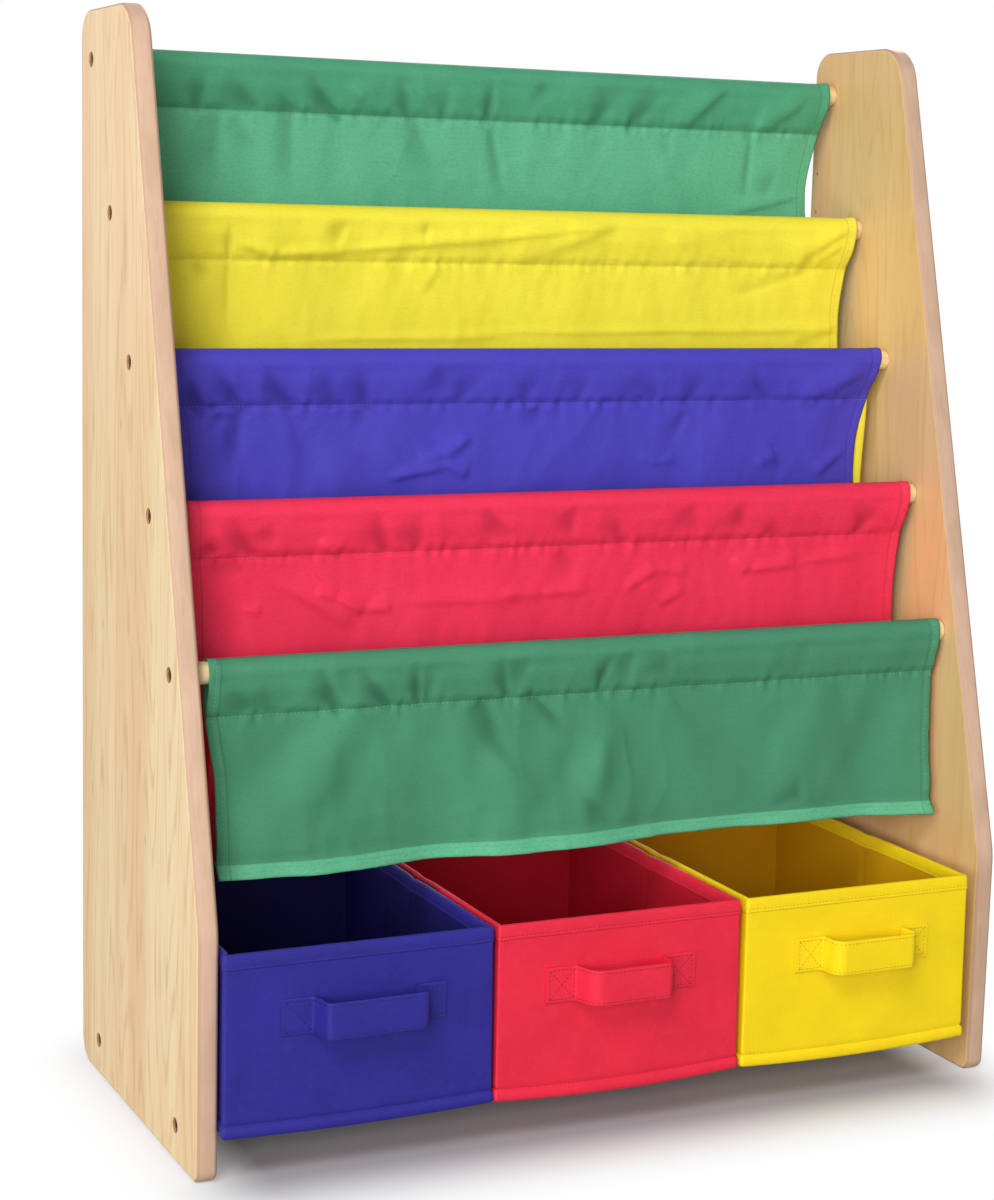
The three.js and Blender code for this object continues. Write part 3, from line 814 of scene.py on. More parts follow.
def sheet_from_grid(name, points, normals, uv, folds, material):
    """A solid sheet from a grid of points, marked with how deep its creases are, for the painted shade
    that darkens them. Its outer columns fold back behind it as hems."""
    kept = slice(1, len(hem_places))

    def folded(side):
        from_edge = slice(None, None, -side)
        edge, edge_normals, edge_uv = (grid[:, from_edge] for grid in (points, normals, uv))
        back = edge[:, kept] - edge_normals[:, kept] * hem_offset
        shift = np.zeros_like(edge_uv[:, kept])
        shift[..., 0] = 2 * (edge_uv[:, :1, 0] - edge_uv[:, kept, 0])
        return back, edge_uv[:, kept] + shift

    left, left_uv = folded(-1)
    right, right_uv = folded(1)
    grid = np.concatenate([left[:, ::-1], points, right], axis=1)
    grid_uv = np.concatenate([left_uv[:, ::-1], uv, right_uv], axis=1)
    grid_crease_shade = np.pad(folds, ((0, 0), (kept.stop - 1, kept.stop - 1)))
    height, width = grid.shape[:2]
    index = np.arange(height * width).reshape(height, width)
    faces = np.stack([index[:-1, :-1], index[1:, :-1], index[1:, 1:], index[:-1, 1:]], -1)
    faces = faces.reshape(-1, 4)
    mesh = bpy.data.meshes.new(name)
    mesh.from_pydata(grid.reshape(-1, 3).tolist(), [], faces.tolist())
    layer = mesh.uv_layers.new(name="cloth")
    layer.data.foreach_set("uv", grid_uv.reshape(-1, 2)[faces.ravel()].astype(np.float32).ravel())
    # the fold mark carries painted shade: how far each point lies in a crease, which darkens its colour
    marks = mesh.attributes.new("fold", "FLOAT", "POINT")
    marks.data.foreach_set("value", grid_crease_shade.astype(np.float32).ravel())
    mesh.shade_smooth()
    piece = new_piece(name, mesh, material)
    solid = piece.modifiers.new("thickness", "SOLIDIFY")
    solid.thickness = cloth_thickness
    solid.offset = 0
    return made_plain(piece)


def darker(code, share):
    """A colour's code with each of its values brought down to a share"""
    return "".join(f"{round(int(code[i : i + 2], 16) * share):02x}" for i in (0, 2, 4))


def step_at(place, middle, half_width):
    """0 before a place and 1 past it, blurred by half a width on each side"""
    return place.between(middle - half_width, middle + half_width)


sleeve_length = 101.8 * mm
hem_start = sling_half_width - hem_width
thread_gap = 0.42 * mm
# the lines darkened with painted shade: one beside each side hem, and one on the sleeve just over its seam
hem_shade = (hem_start - 1.8 * mm, hem_start - 0.8 * mm)
seam_shade = (sleeve_length - 2.6 * mm, sleeve_length - 1.6 * mm)
seam_light = (sleeve_length - 1.0 * mm, sleeve_length)
# the colour of the painted shade, as a share of the deep colour
shade_share = 0.66


def woven(name, colour, deep, light, single=0.0, hem=1.0):
    """Fine plain-woven polyester: crossed threads 0.4 mm apart, uneven dye, and a soft sheen. Below
    the sleeve the cloth is a single layer, which lets some light through, and it is painted paler
    there as painted light. At the side hems it is doubled again and brighter, and past the bottom
    hem's length it is doubled and painted brighter, partly as a painted highlight where the hem kicks
    up. The creases, the line over the seam and the one beside each side hem are darkened with
    painted shade."""
    material, tree = new_tree(name)
    flat = tree.node("ShaderNodeUVMap", {"uv_map": "cloth"})
    across, down = flat.part(0), flat.part(1)
    warp = (across * (2 * math.pi / thread_gap)).maths("SINE")
    weft = (down * (2 * math.pi / thread_gap)).maths("SINE")
    slub = flat.stretched(2.5, 60, 1).noise(14, 3, 0.6)
    cloud = flat.stretched(6, 5, 1).noise(2.5, 3, 0.55)
    fuzz = flat.noise(1500, 2, 0.6)
    mottle = flat.stretched(1, 1.5, 1).noise(330, 3, 0.7)
    side = across.maths("ABSOLUTE")
    side_hem = step_at(side, hem_start, 0.4 * mm)
    shade_beside_hem = side.between(*hem_shade) * (1 - side_hem)
    shade_over_seam = down.between(*seam_shade) * (1 - down.between(*seam_light))
    # painted shade in the creases, from the fold mark that the sheet carries
    fold = tree.node("ShaderNodeAttribute", {"attribute_name": "fold"}, None, 2)
    # painted light: below the sleeve the cloth is painted paler, for the light that comes through its
    # single layer
    single_layer_light = step_at(down, sleeve_length, 1 * mm) * single
    dye = toned(
        single_layer_light.choose(paint(colour), paint(light)),
        # partly painted highlight: the bottom hem is doubled cloth, painted much paler for the light it
        # catches where it kicks up
        (step_at(down, hem, 0.5 * mm), 0.9, light),
        (side_hem, 0.14, light),
        # painted shade: the creases, the line over the seam and the line beside each side hem
        (fold * 0.5 + shade_over_seam * 0.16 + shade_beside_hem * 0.3, 1.0, darker(deep, shade_share)),
        (slub.between(0.4, 0.7), 0.12, deep),
        (cloud.between(0.45, 0.75), 0.14, light),
        (mottle.between(0.42, 0.72), 0.3, deep),
        ((warp * weft).between(0.2, 1.0), 0.16, deep),
    )
    height = warp * weft * 0.5 + fuzz * 0.8 + mottle * 2.2 + slub * 0.3
    surface(tree, {
        "Base Color": dye,
        "Roughness": 0.6 + fuzz * 0.16,
        "Normal": height.bump(0.3, 0.00016),
        "Sheen Weight": 0.04,
        "Sheen Roughness": 0.4,
        "Sheen Tint": paint(light),
        "Specular IOR Level": 0.22,
    })
    return material


flap_cloth_length = sleeve_length + 104 * mm
sling_cloths = {
    "green": woven("green_cloth", "4a9872", "397c5c", "6cc096", 0.55),
    "yellow": woven("yellow_cloth", "ecdf3e", "d8c824", "f2ea5c"),
    "blue": woven("blue_cloth", "4940b6", "382e96", "6055ca"),
    "red": woven("red_cloth", "ea3052", "c82041", "f54867"),
    # painted shade: the flap is the green cloth in darker colours
    "flap": woven("flap_cloth", "458867", "357055", "62b68b", hem=flap_cloth_length),
}

# each crease: x and drop under the dowel at both ends, width and depth, in millimetres
sling_creases = {
    "green": [
        (-241, 2, -245, 31, 6, 2.0), (-225, 7, -202, 29, 8, 2.2), (-185, 17, -170, 31, 6, 1.5),
        (-162, 1, -134, 34, 5, 2.6), (-124, 13, -96, 32, 7, 1.6), (-84, 0, -74, 32, 5, 2.0),
        (-44, 4, -45, 32, 6, 1.4), (-6, 1, -6, 31, 4, 2.2), (32, 1, 44, 13, 7, 1.0),
        (109, 1, 86, 31, 8, 1.6), (147, 1, 119, 32, 8, 1.6), (202, -3, 161, 32, 7, 2.2),
        (242, 3, 230, 34, 6, 1.4), (277, 5, 232, 34, 8, 2.2), (-229, 37, -235, 88, 10, 1.2),
        (-215, 38, -197, 65, 8, 1.0), (-172, 34, -171, 93, 8, 1.5), (-134, 40, -128, 93, 12, 1.0),
        (-69, 37, -48, 88, 10, 1.2), (-3, 39, 10, 94, 5, 1.6), (155, 36, 155, 61, 6, 0.8),
        (234, 34, 229, 94, 3, 1.3), (282, 84, 218, 96, 4, 1.6), (261, 62, 244, 89, 6, 1.0),
        (292, 34, 288, 95, 24, 3.2),
    ],
    "yellow": [
        (-235, 2, -236, 28, 3, 1.6), (-229, 20, -201, 28, 4, 1.8), (-201, 28, -148, 24, 4, 1.8),
        (-148, 24, -18, 12, 4, 1.8), (-18, 12, 32, 6, 4, 1.8), (32, 6, 76, 1, 4, 1.2),
        (-145, 0, -155, 24, 5, 1.2), (-78, -1, -82, 18, 3, 1.2), (74, 3, -5, 29, 8, 1.5),
        (184, 3, 131, 10, 10, 1.0), (294, -1, 246, 25, 7, 2.2), (290, 13, 267, 27, 4, 1.2),
        (-261, 35, -251, 46, 5, 1.2), (-236, 35, -236, 79, 3, 1.1), (-227, 46, -184, 85, 18, 1.8),
        (-176, 36, -127, 85, 12, 1.5), (-93, 35, -74, 48, 8, 1.2), (-170, 91, -14, 88, 3, 1.1),
        (-14, 85, 294, 82, 3, 1.1), (268, 33, 198, 53, 4, -1.0), (301, 78, 250, 90, 6, 1.2),
        (296, 34, 292, 95, 24, 3.2),
    ],
    "blue": [
        (-285, 7, -274, 34, 6, 2.8), (-266, 29, -261, 34, 3, 1.5), (-265, 2, -242, 34, 5, 2.8),
        (-226, 4, -205, 33, 6, 2.4), (-182, 4, -171, 31, 8, 1.5), (-153, 4, -143, 33, 6, 2.0),
        (-93, 3, -77, 22, 9, 1.2), (-47, 3, -71, 29, 8, 1.2), (-3, 4, -17, 28, 8, 1.2),
        (42, 2, 31, 28, 8, 1.0), (74, 4, 96, 27, 8, 1.0), (143, 5, 127, 31, 8, 1.2),
        (178, 5, 197, 28, 6, 1.4), (283, 9, 231, 31, 8, 2.2), (-270, 36, -269, 42, 3, 1.5),
        (-259, 37, -254, 46, 5, 1.3), (-243, 38, -248, 81, 7, 2.0), (-201, 36, -181, 82, 12, 2.0),
        (-151, 37, -143, 47, 6, 1.0), (-59, 57, -80, 70, 5, 1.8), (-80, 70, -100, 74, 4, 1.4),
        (-124, 88, -81, 79, 4, 2.2), (-81, 77, -62, 85, 4, 1.6), (-4, 36, -1, 49, 8, 1.2),
        (88, 75, 101, 81, 3, 1.0), (101, 81, 118, 77, 3, 1.0), (126, 43, 111, 68, 6, 0.8),
        (194, 84, 209, 75, 6, 1.4), (209, 79, 221, 91, 6, 0.9), (298, 24, 296, 95, 34, 5.5),
        (280, 72, 249, 90, 5, 2.0),
    ],
    "red": [
        (-285, 17, -278, 27, 6, 1.6), (-270, 0, -251, 28, 7, 2.0), (-239, 6, -235, 24, 6, 1.2),
        (-199, 22, -184, 31, 5, 1.6), (-158, 0, -147, 29, 7, 2.0), (-124, 2, -122, 28, 9, 1.5),
        (-72, 1, -46, 25, 6, 1.8), (3, 2, 2, 25, 7, 1.6), (32, 2, 47, 29, 7, 1.5),
        (103, 1, 108, 25, 10, 1.2), (146, 2, 153, 25, 7, 1.5), (172, 16, 182, 29, 5, 1.2),
        (275, 9, 258, 28, 8, 2.0), (-276, 33, -269, 45, 6, 1.6), (-261, 34, -257, 45, 6, 1.4),
        (-226, 52, -174, 82, 7, 1.8), (-200, 59, -186, 63, 4, 1.6), (-186, 63, -164, 74, 4, 2.0),
        (-164, 74, -142, 73, 4, 1.4), (-255, 70, -242, 72, 3, 1.2), (-128, 69, -37, 70, 5, 1.0),
        (-53, 68, -21, 68, 4, 1.0), (-21, 68, 18, 66, 4, 1.2), (53, 67, 78, 53, 4, 1.4),
        (78, 53, 104, 56, 4, 1.0), (66, 64, 87, 80, 4, 1.2), (87, 80, 102, 69, 4, 1.2),
        (146, 48, 158, 57, 4, 1.8), (158, 57, 200, 53, 4, 1.6), (208, 52, 258, 48, 4, 1.2),
        (-2, 35, 9, 54, 6, 1.0), (296, 30, 292, 95, 26, 3.5), (-262, 30, -256, 95, 24, 2.4),
    ],
}
# the broad folds of each pocket: waves across, their start, ripples across and their start
sling_waves = {
    "green": (2.5, 0.1, 5.0, 0.3),
    "yellow": (2.0, 0.65, 4.5, 0.0),
    "blue": (3.0, 0.35, 5.5, 0.6),
    "red": (2.2, 0.9, 5.0, 0.15),
}
# how each pocket's sides draw in: on the left, on the right, over which drops, and how far the
# sleeve stops short on the right
sling_edges = {
    "green": (9 * mm, 12.5 * mm, (0, 85 * mm), 2.4 * mm),
    "yellow": (6 * mm, 6.5 * mm, (-5 * mm, 70 * mm), 0.6 * mm),
    "blue": (11 * mm, 13.7 * mm, (-5 * mm, 70 * mm), 2.6 * mm),
    "red": (5 * mm, 3.5 * mm, (-5 * mm, 70 * mm), 1.5 * mm),
}
crease_strength = 1.7
# a crease this deep gets the full painted shade
full_shade_depth = 2.2 * mm
# unevenness, as the length of its waves and its depth: of the front, of its net of ridges, of the
# back, and of the side edges
broad_rumple = (70 * mm, 0.55 * mm)
fine_rumple = (26 * mm, 0.16 * mm)
upright_ridges = (90 * mm, 1.5 * mm)
level_ridges = (60 * mm, 0.9 * mm)
back_slack = (50 * mm, 0.5 * mm)
edge_flutter = (26 * mm, 0.5 * mm)
pucker_gap = 11 * mm
# what the seam and the side hems' stitches do to the cloth, each as a depth and how far it reaches
seam_pucker = (0.6 * mm, 6 * mm)
seam_groove = (0.4 * mm, 1.1 * mm)
hem_groove = (0.3 * mm, 0.9 * mm)
# at the seam the cloth dents by this share only, and at these drops the dents fade out
held_share = 0.65
dents_fade = (120 * mm, 170 * mm)
edge_curl = 1.1 * mm
sleeve_puff = 1.5 * mm
# the cloth keeps this far from its dowel's middle, and this much room in front of the back layer
dowel_room = 8.6 * mm
layer_room = 1.6 * mm
sleeve_room_share = 0.4
free_room = 4 * mm
# where the sleeve's front starts to crease, over the dowel's middle and under it
crease_start = (-7 * mm, 6 * mm)
# the crest on top of the sleeve: its height, its place over the front in degrees and its width
sleeve_peak = 1.7 * mm
peak_turn = 58
peak_width = 26


def swell(distance, depth, reach):
    """A soft bump of a depth, that fades with distance"""
    return depth * np.exp(-((distance / reach) ** 2))


def top_row(path):
    """The row in which a path goes over its dowel"""
    return int(np.argmax(path[:, 1]))


def cloth_rule(dowel, path, waves, edges, creases, seed, fold_depth, lift_height, own_shape=None):
    """The rule that places a point of a hung cloth, from its distance across and its row"""
    count, phase, ripple_count, ripple_phase = waves
    left_in, right_in, (in_start, in_end), right_short = edges
    hung = own_shape is None
    lowest = path[:, 1].min()
    middle = path[-1, 0] / 2 if hung else -1.0
    turn_row = top_row(path)
    rows = np.arange(len(path))

    def place(across, row):
        y = np.interp(row, rows, path[:, 0])
        z = np.interp(row, rows, path[:, 1])
        is_front = y < middle
        seen = (row > turn_row) & ~is_front
        behind = (row < turn_row) & (z < 0)
        above_seam = z + seam_drop
        near_seam = np.abs(above_seam)
        edge = sling_half_width - np.abs(across)

        # broad folds, and sides that draw in on the way down
        share = (across / sling_half_width + 1) / 2
        wave = np.sin(2 * math.pi * (count * share + phase))
        ripple = np.sin(2 * math.pi * (ripple_count * share + ripple_phase))
        drop = np.maximum(-above_seam, 0)
        inward = np.where(across < 0, left_in, right_in) * smooth(-z, in_start, in_end)
        x = sling_shift + across * (1 - inward / sling_half_width) - right_short * share
        below = np.where(is_front, np.maximum(path[-1, 1] - z, 0), drop)
        growth = smooth(below, 0, fold_drop)
        push = growth * (wave + ripple / 2) * fold_depth
        lift = ripple * lift_height * drop / (-seam_drop - lowest)

        # creases, rumples and the seam's puckers on the layer that is seen
        below_top = smooth(-z, *crease_start)
        held = smooth(near_seam, 0, 3 * mm) * (1 - held_share) + held_share
        fades = 1 - smooth(-z, *dents_fade) if hung else 1.0
        dents = crease_strength * creased(x, -z, creases) + rumpled(x, -z, seed, *broad_rumple)
        dents = dents + rumpled(x, -z, seed + 5, *fine_rumple)
        dents = dents + buckled(x, -z, seed + 6, *upright_ridges)
        dents = dents + buckled(z * 0.8, x * 0.5, seed + 7, *level_ridges)
        pucker = swell(near_seam, *seam_pucker) * rumpled(x, z * 0, seed + 9, pucker_gap, 1.0)
        groove = swell(near_seam, *seam_groove)
        push = push + np.where(seen, (dents * held * fades + pucker) * below_top + groove, 0)
        puff = sleeve_puff * smooth(-z, 3 * mm, 15 * mm) * smooth(above_seam, 0, 6 * mm)
        push = push - np.where(seen, puff, 0)

        # the layer behind follows where it is sewn on, and is slack above
        sewn = 1 - smooth(above_seam, 0, 10 * mm)
        push = push + np.where(behind, (dents * held + pucker) * sewn, 0)
        slack = rumpled(x, -z, seed + 4, *back_slack) * smooth(-z, 0, 9 * mm)
        push = push - np.where(behind, slack, 0)

        # the side edges curl and flutter, and their stitches press a line
        near_edge = 1 - smooth(edge, 0, hem_width)
        curl = edge_curl * near_edge**2 * smooth(-z, 6 * mm, 20 * mm)
        line = swell(edge - hem_line, *hem_groove)
        flutter = rumpled(z, x * 0, seed + 2, *edge_flutter) * near_edge
        push = push + np.where(seen, (curl + flutter + line) * below_top, 0)
        if own_shape:
            push = push + np.where(seen, own_shape(x, -z), 0)

        # nothing goes through the layer behind or the dowel
        room = layer_room + sleeve_room_share * np.maximum(above_seam, 0)
        room = room + free_room * smooth(drop, 0, pocket_peel)
        push = np.where(seen & (push > 0), room * np.tanh(push / room), push)
        chord = np.sqrt(np.maximum(dowel_room**2 - z**2, 0))
        push = np.where(seen & (chord > 0), np.minimum(push, -chord - y), push)

        # the sleeve stands up in a crest over its dowel
        turn = np.degrees(np.arctan2(z, -y))
        on_top = (np.hypot(y, z) < 10 * mm) & (z > -2 * mm)
        peak = swell(turn - peak_turn, sleeve_peak, peak_width) * (1 - smooth(edge, 0, 12 * mm))
        peak = np.where(on_top, peak, 0) / (np.hypot(y, z) + 1e-9)
        lifted = dowel.z + z * (1 + peak) + lift * np.where(is_front, growth, 1)
        return np.stack([x, dowel.y + y * (1 + peak) + push, lifted], -1)

    return place


def normals_of(points):
    """The side that a grid of points faces, at each point"""
    normals = np.cross(np.gradient(points, axis=0), np.gradient(points, axis=1))
    return normals / (np.linalg.norm(normals, axis=2, keepdims=True) + 1e-12)


def hung_cloth(name, path, rule, creases, material):
    """A hemmed sheet that follows a rule, and the size it was cut to"""
    columns = hemmed_columns(sling_half_width)
    across, row = np.meshgrid(columns, np.arange(len(path)))
    points = rule(across, row)
    lengths = unrolled(path)
    uv = np.stack([across, lengths[row]], -1)
    narrow = [crease for crease in creases if crease[4] <= broad_width]
    # painted shade for the narrow creases, as a share of its full darkness at each point
    folds = np.clip(creased(points[..., 0], -path[row, 1], narrow) / full_shade_depth, 0, 1)
    folds = folds * (row > top_row(path))
    piece = sheet_from_grid(name, points, normals_of(points), uv, folds, material)
    return piece, (2 * (sling_half_width + hem_width), float(lengths[-1]))


def thread_of(name, colour):
    """Twisted polyester sewing thread, a little glossier and deeper than its cloth"""
    material, tree = new_tree(name)
    twist = object_place(tree).noise(2500, 2, 0.5)
    deep = paint(darker(colour, 0.78))
    surface(tree, {
        "Base Color": twist.between(0.35, 0.65).choose(paint(colour), deep),
        "Roughness": 0.42 + twist * 0.2,
        "Normal": twist.bump(0.3, 0.0001),
    })
    return material


stitch_pitch = 3.2 * mm
stitch_sizes = {"Length": 2.3 * mm, "Width": 0.75 * mm, "Height": 0.5 * mm}
stitch_ball = {"Segments": 6, "Rings": 4, "Radius": 0.5}
stitch_lift = 0.1 * mm
# how many points a seam is measured by, across a cloth and down its sides
run_steps = 900
down_steps = 400
aiming = "FunctionNodeAlignRotationToVector"


def stitch_tree(name, thread):
    """A tree that lays one stitch on each marked point, along its seam and proud of its cloth"""
    group = node_tree(name, stitch_sizes)
    tree = Wire(group)
    given = given_to(group)
    ball = tree.node("GeometryNodeMeshUVSphere", None, stitch_ball)
    scale = {i: given[size] for i, size in enumerate(stitch_sizes)}
    shape = {"Geometry": ball, "Scale": tree.node("ShaderNodeCombineXYZ", None, scale)}
    stitch = tree.node("GeometryNodeTransform", None, shape)
    stitch = tree.node("GeometryNodeSetShadeSmooth", None, {"Geometry": stitch})
    turn = tree.node(aiming, {"axis": "X"}, {"Vector": mark_of(tree, "along")})
    proud = {"Rotation": turn, "Vector": mark_of(tree, "outward")}
    turn = tree.node(aiming, {"axis": "Z", "pivot_axis": "X"}, proud)
    set_on_points(tree, given["Geometry"], stitch, turn, thread)
    return group


def stitch_lengths(lengths):
    """Where the stitches of a seam lie, as lengths along it"""
    return np.arange(stitch_pitch / 2, lengths[-1], stitch_pitch)


def seam_marks(rule, across, row):
    """The places, directions and outward sides of stitches on a cloth's front"""
    def facing(a, r):
        reach = 0.05
        by_row = rule(a, r + reach) - rule(a, r - reach)
        by_column = rule(a + reach * mm, r) - rule(a - reach * mm, r)
        out = np.cross(by_row, by_column)
        return out / (np.linalg.norm(out, axis=-1, keepdims=True) + 1e-12)

    lengths = unrolled(rule(across, row))
    at = stitch_lengths(lengths)
    line = np.stack([across, row], 1)
    a, r = read_at(at, lengths, line).T
    out = facing(a, r)
    place = rule(a, r)
    along = rule(*read_at(at + mm / 2, lengths, line).T) - place
    return place + out * (cloth_thickness / 2 + stitch_lift), along, out


def sew(name, marks, thread, body):
    """One piece that holds every stitch of these marks"""
    places, alongs, outs = (np.concatenate(parts) for parts in zip(*marks))
    piece = marked_points(name, places, {"along": alongs, "outward": outs})
    run_tree(piece, stitch_tree(f"{name}_tree", thread), stitch_sizes)
    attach(piece, body)


def row_at(path, height):
    """The row of a path, past its top, where it first comes down to a height"""
    for row in range(top_row(path), len(path) - 1):
        if path[row, 1] >= height >= path[row + 1, 1]:
            return row + (path[row, 1] - height) / (path[row, 1] - path[row + 1, 1])
    return float(len(path) - 1)


def cloth_marks(rule, path, heights, lowest):
    """Stitches across a cloth at these heights, and down both side hems to the lowest"""
    end = sling_half_width - 2 * mm
    side = sling_half_width - hem_line
    run = np.linspace(-end, end, run_steps)
    down = np.linspace(top_row(path) + 1, row_at(path, lowest), down_steps)
    marks = [seam_marks(rule, run, np.full(run_steps, row_at(path, height))) for height in heights]
    for across in (-side, side):
        marks.append(seam_marks(rule, np.full(down_steps, across), down))
    return marks


# how deep the broad folds are at the bottom, how far they lift it, and how far down the sides' hems
# are stitched below the next dowel
pocket_fold = 2.2 * mm
pocket_lift = 1.6 * mm
stitched_below = 60 * mm
sling_seed = 11
dowels = [middle_of(f"sling_dowel_{i}") for i in range(1, 6)]
thread_colours = {"green": "5cb48c", "yellow": "efe14a", "blue": "5950cb", "red": "ee4466"}
threads = {name: thread_of(f"{name}_thread", code) for name, code in thread_colours.items()}
for i, colour in enumerate(("green", "yellow", "blue", "red")):
    step_down = dowels[i].z - dowels[i + 1].z
    step_back = dowels[i].y - dowels[i + 1].y
    sleeve = resampled(sleeve_path(-seam_gap, seam_gap), row_gap)
    wall = resampled(pocket_path(step_down, step_back), row_gap)
    fine_rows = int(fine_length / row_gap)
    path = np.concatenate([sleeve, wall[1:fine_rows], resampled(wall[fine_rows:], wide_row_gap)])
    rule = cloth_rule(
        dowels[i], path, sling_waves[colour], sling_edges[colour], sling_creases[colour],
        sling_seed + i, pocket_fold, pocket_lift,
    )
    piece, flat = hung_cloth(
        f"{colour}_pocket_cloth", path, rule, sling_creases[colour], sling_cloths[colour]
    )
    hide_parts(f"{colour}_sling")
    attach(piece, "rack")

    marks = cloth_marks(rule, path, [-seam_drop], -step_down - stitched_below)
    sew(f"{colour}_pocket_stitches", marks, threads[colour], "rack")

# Front flap
# A shorter length of the green cloth over the lowest dowel, stitched in the same way, that hangs
# free in front of the bottom pocket. Its bottom hem is turned up behind and kicks forward.
flap_length = 113 * mm
flap_lean = 5 * mm
flap_hem_height = 10 * mm
flap_hem_kick = 3.4 * mm
flap_hem_line = 6 * mm
flap_hem_gap = 1.7 * mm
flap_waves = (2.3, 0.62, 1.0, 0.5)
flap_edges = (7 * mm, 0.5 * mm, (25 * mm, 85 * mm), 0.0)
flap_fold = 0.5 * mm
flap_lift = 0.8 * mm
flap_seed = 31
# the bottom hem's crease and the line its stitches press, each as a depth and how far it reaches
flap_hem_crease = (0.9 * mm, 5 * mm)
flap_hem_press = (0.5 * mm, 1.0 * mm)
flap_hem_crease_lift = 2 * mm
# the unevenness of the hem's kick and of its height, as a seed, the length of its waves and a share
kick_rumple = (71, 90 * mm, 0.25)
hem_rumple = (72, 120 * mm, 0.08)
flap_rows = 60
flap_hem_rows = 8
# how far the bottom edge hangs forward, along the rack: x and lean in millimetres
flap_leans = [
    (-300, 9), (-246, 11), (-219, 13), (-180, 9), (-148, 2), (-123, -3), (-78, 11), (-49, 10),
    (14, 9), (35, 6), (52, 2), (82, -4), (115, -6), (163, 2), (184, 2), (205, -2), (242, -2),
    (270, 6), (304, 11),
]
flap_creases = [
    (-283, 10, -270, 27, 8, 1.4), (-260, 8, -253, 28, 8, 1.2), (-219, -3, -202, 30, 6, 2.4),
    (-188, 1, -163, 30, 5, 2.4), (-144, -2, -139, 30, 4, 2.0), (-130, 0, -132, 29, 6, 1.4),
    (-78, -4, -70, 28, 5, 1.8), (-56, -2, -61, 25, 7, 1.6),
    (14, 0, 6, 27, 4, 2.0), (30, -2, 27, 25, 7, 1.2), (59, 3, 62, 23, 7, 1.0),
    (-230, 45, -270, 85, 18, 2.0), (-185, 28, -245, 115, 20, -3.2), (-130, 60, -135, 125, 22, 2.4),
    (-89, 34, -70, 78, 10, 2.4), (-84, 66, -55, 106, 12, -3.0), (-50, 29, -13, 65, 4, 2.0),
    (-13, 65, -20, 106, 14, 1.6), (10, 70, 2, 112, 12, -2.6), (16, 29, 66, 96, 15, 2.8),
    (70, 28, 135, 92, 13, 3.2), (125, 80, 162, 133, 11, 2.6), (-6, 108, 24, 139, 7, 1.8),
    (200, 40, 192, 130, 26, -2.2), (252, 60, 250, 130, 20, 2.4), (161, 131, 188, 124, 6, -1.6),
]


def flap_path():
    """From the seam down to the bottom edge, and up behind it as far as the hem goes"""
    share = np.linspace(0, 1, flap_rows)
    front = [(-seam_gap - flap_lean * t * t, -seam_drop - flap_length * t) for t in share]
    bottom_y, bottom_z = front[-1]
    turned_up = [(bottom_y + flap_hem_gap / 2, bottom_z - 0.5 * mm)]
    for t in np.linspace(0, 1, flap_hem_rows):
        height = flap_hem_height * t
        lean = 2 * flap_lean / flap_length * height
        turned_up.append((bottom_y + flap_hem_gap + lean, bottom_z + 0.4 * mm + height))
    return front[1:] + turned_up


# the leans at every 4 mm, softened over 13 of them
softened = 13
lean_places = np.arange(-320, 321, 4) * mm
lean_even = np.interp(lean_places, *(np.array(flap_leans) * mm).T)
softener = np.hanning(softened) / np.hanning(softened).sum()
lean_soft = np.convolve(np.pad(lean_even, softened // 2, mode="edge"), softener, mode="valid")


def flap_shape(x, drop):
    """The bottom hangs forward by its leans, and the hem kicks forward from a soft crease"""
    above_end = seam_drop + flap_length - drop
    uneven = 1 + rumpled(x, x * 0, *kick_rumple)
    top = flap_hem_height * (1 + rumpled(x, x * 0, *hem_rumple))
    kick = swell(above_end - top - flap_hem_crease_lift, *flap_hem_crease)
    kick = kick - flap_hem_kick * np.clip(1 - above_end / top, 0, 1) * uneven
    press = swell(above_end - flap_hem_line, *flap_hem_press)
    share = np.clip((drop - seam_drop) / flap_length, 0, 1)
    lean = np.interp(x, lean_places, lean_soft) - flap_lean
    return kick + press - lean * share**2


sleeve = resampled(sleeve_path(-seam_gap, seam_gap), row_gap)
path = np.concatenate([sleeve, np.array(flap_path())])
rule = cloth_rule(
    dowels[4], path, flap_waves, flap_edges, flap_creases, flap_seed, flap_fold, flap_lift, flap_shape
)
flap, flat = hung_cloth("front_flap_cloth", path, rule, flap_creases, sling_cloths["flap"])
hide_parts("green_front_flap")
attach(flap, "rack")

flap_bottom = -seam_drop - flap_length
marks = cloth_marks(rule, path, [-seam_drop, flap_bottom + flap_hem_line], flap_bottom + mm)
sew("front_flap_stitches", marks, threads["green"], "rack")

# Bin covers
# Three open boxes of embossed non-woven cloth, in two skins with room in every wall for the boards
# that stiffen it. The floor is sewn in with a rolled seam, and each side has a fold crease in its
# middle. In use the walls have taken on a slight lean, and the fronts sag between their corners.
bin_seeds = {"blue": 50, "red": 60, "yellow": 70}
wall_thickness = 3.6 * mm
wall_row_gap = 3.5 * mm
around_gap = 3.2 * mm
corner_steps = 7
cover_round = 1.6 * mm
least_round = 0.6 * mm
# an inset less than this is on the outside of the walls and their rim
outer_face = 2 * mm
side_crease = (1.1 * mm, 2.2 * mm)
rim_crease_share = 0.25
# how much the folded sides' tops sag, over which reach, and from which share of the height
side_sag = (1.0 * mm, 9 * mm)
side_sag_start = 0.7
# how far the walls lean at the bottom: the left ones inwards, the right ones outwards
left_lean = 0.25 * mm
right_lean = 1.9 * mm
blue_bulge = 2.0 * mm
bulge_reach = (4 * mm, 11 * mm)
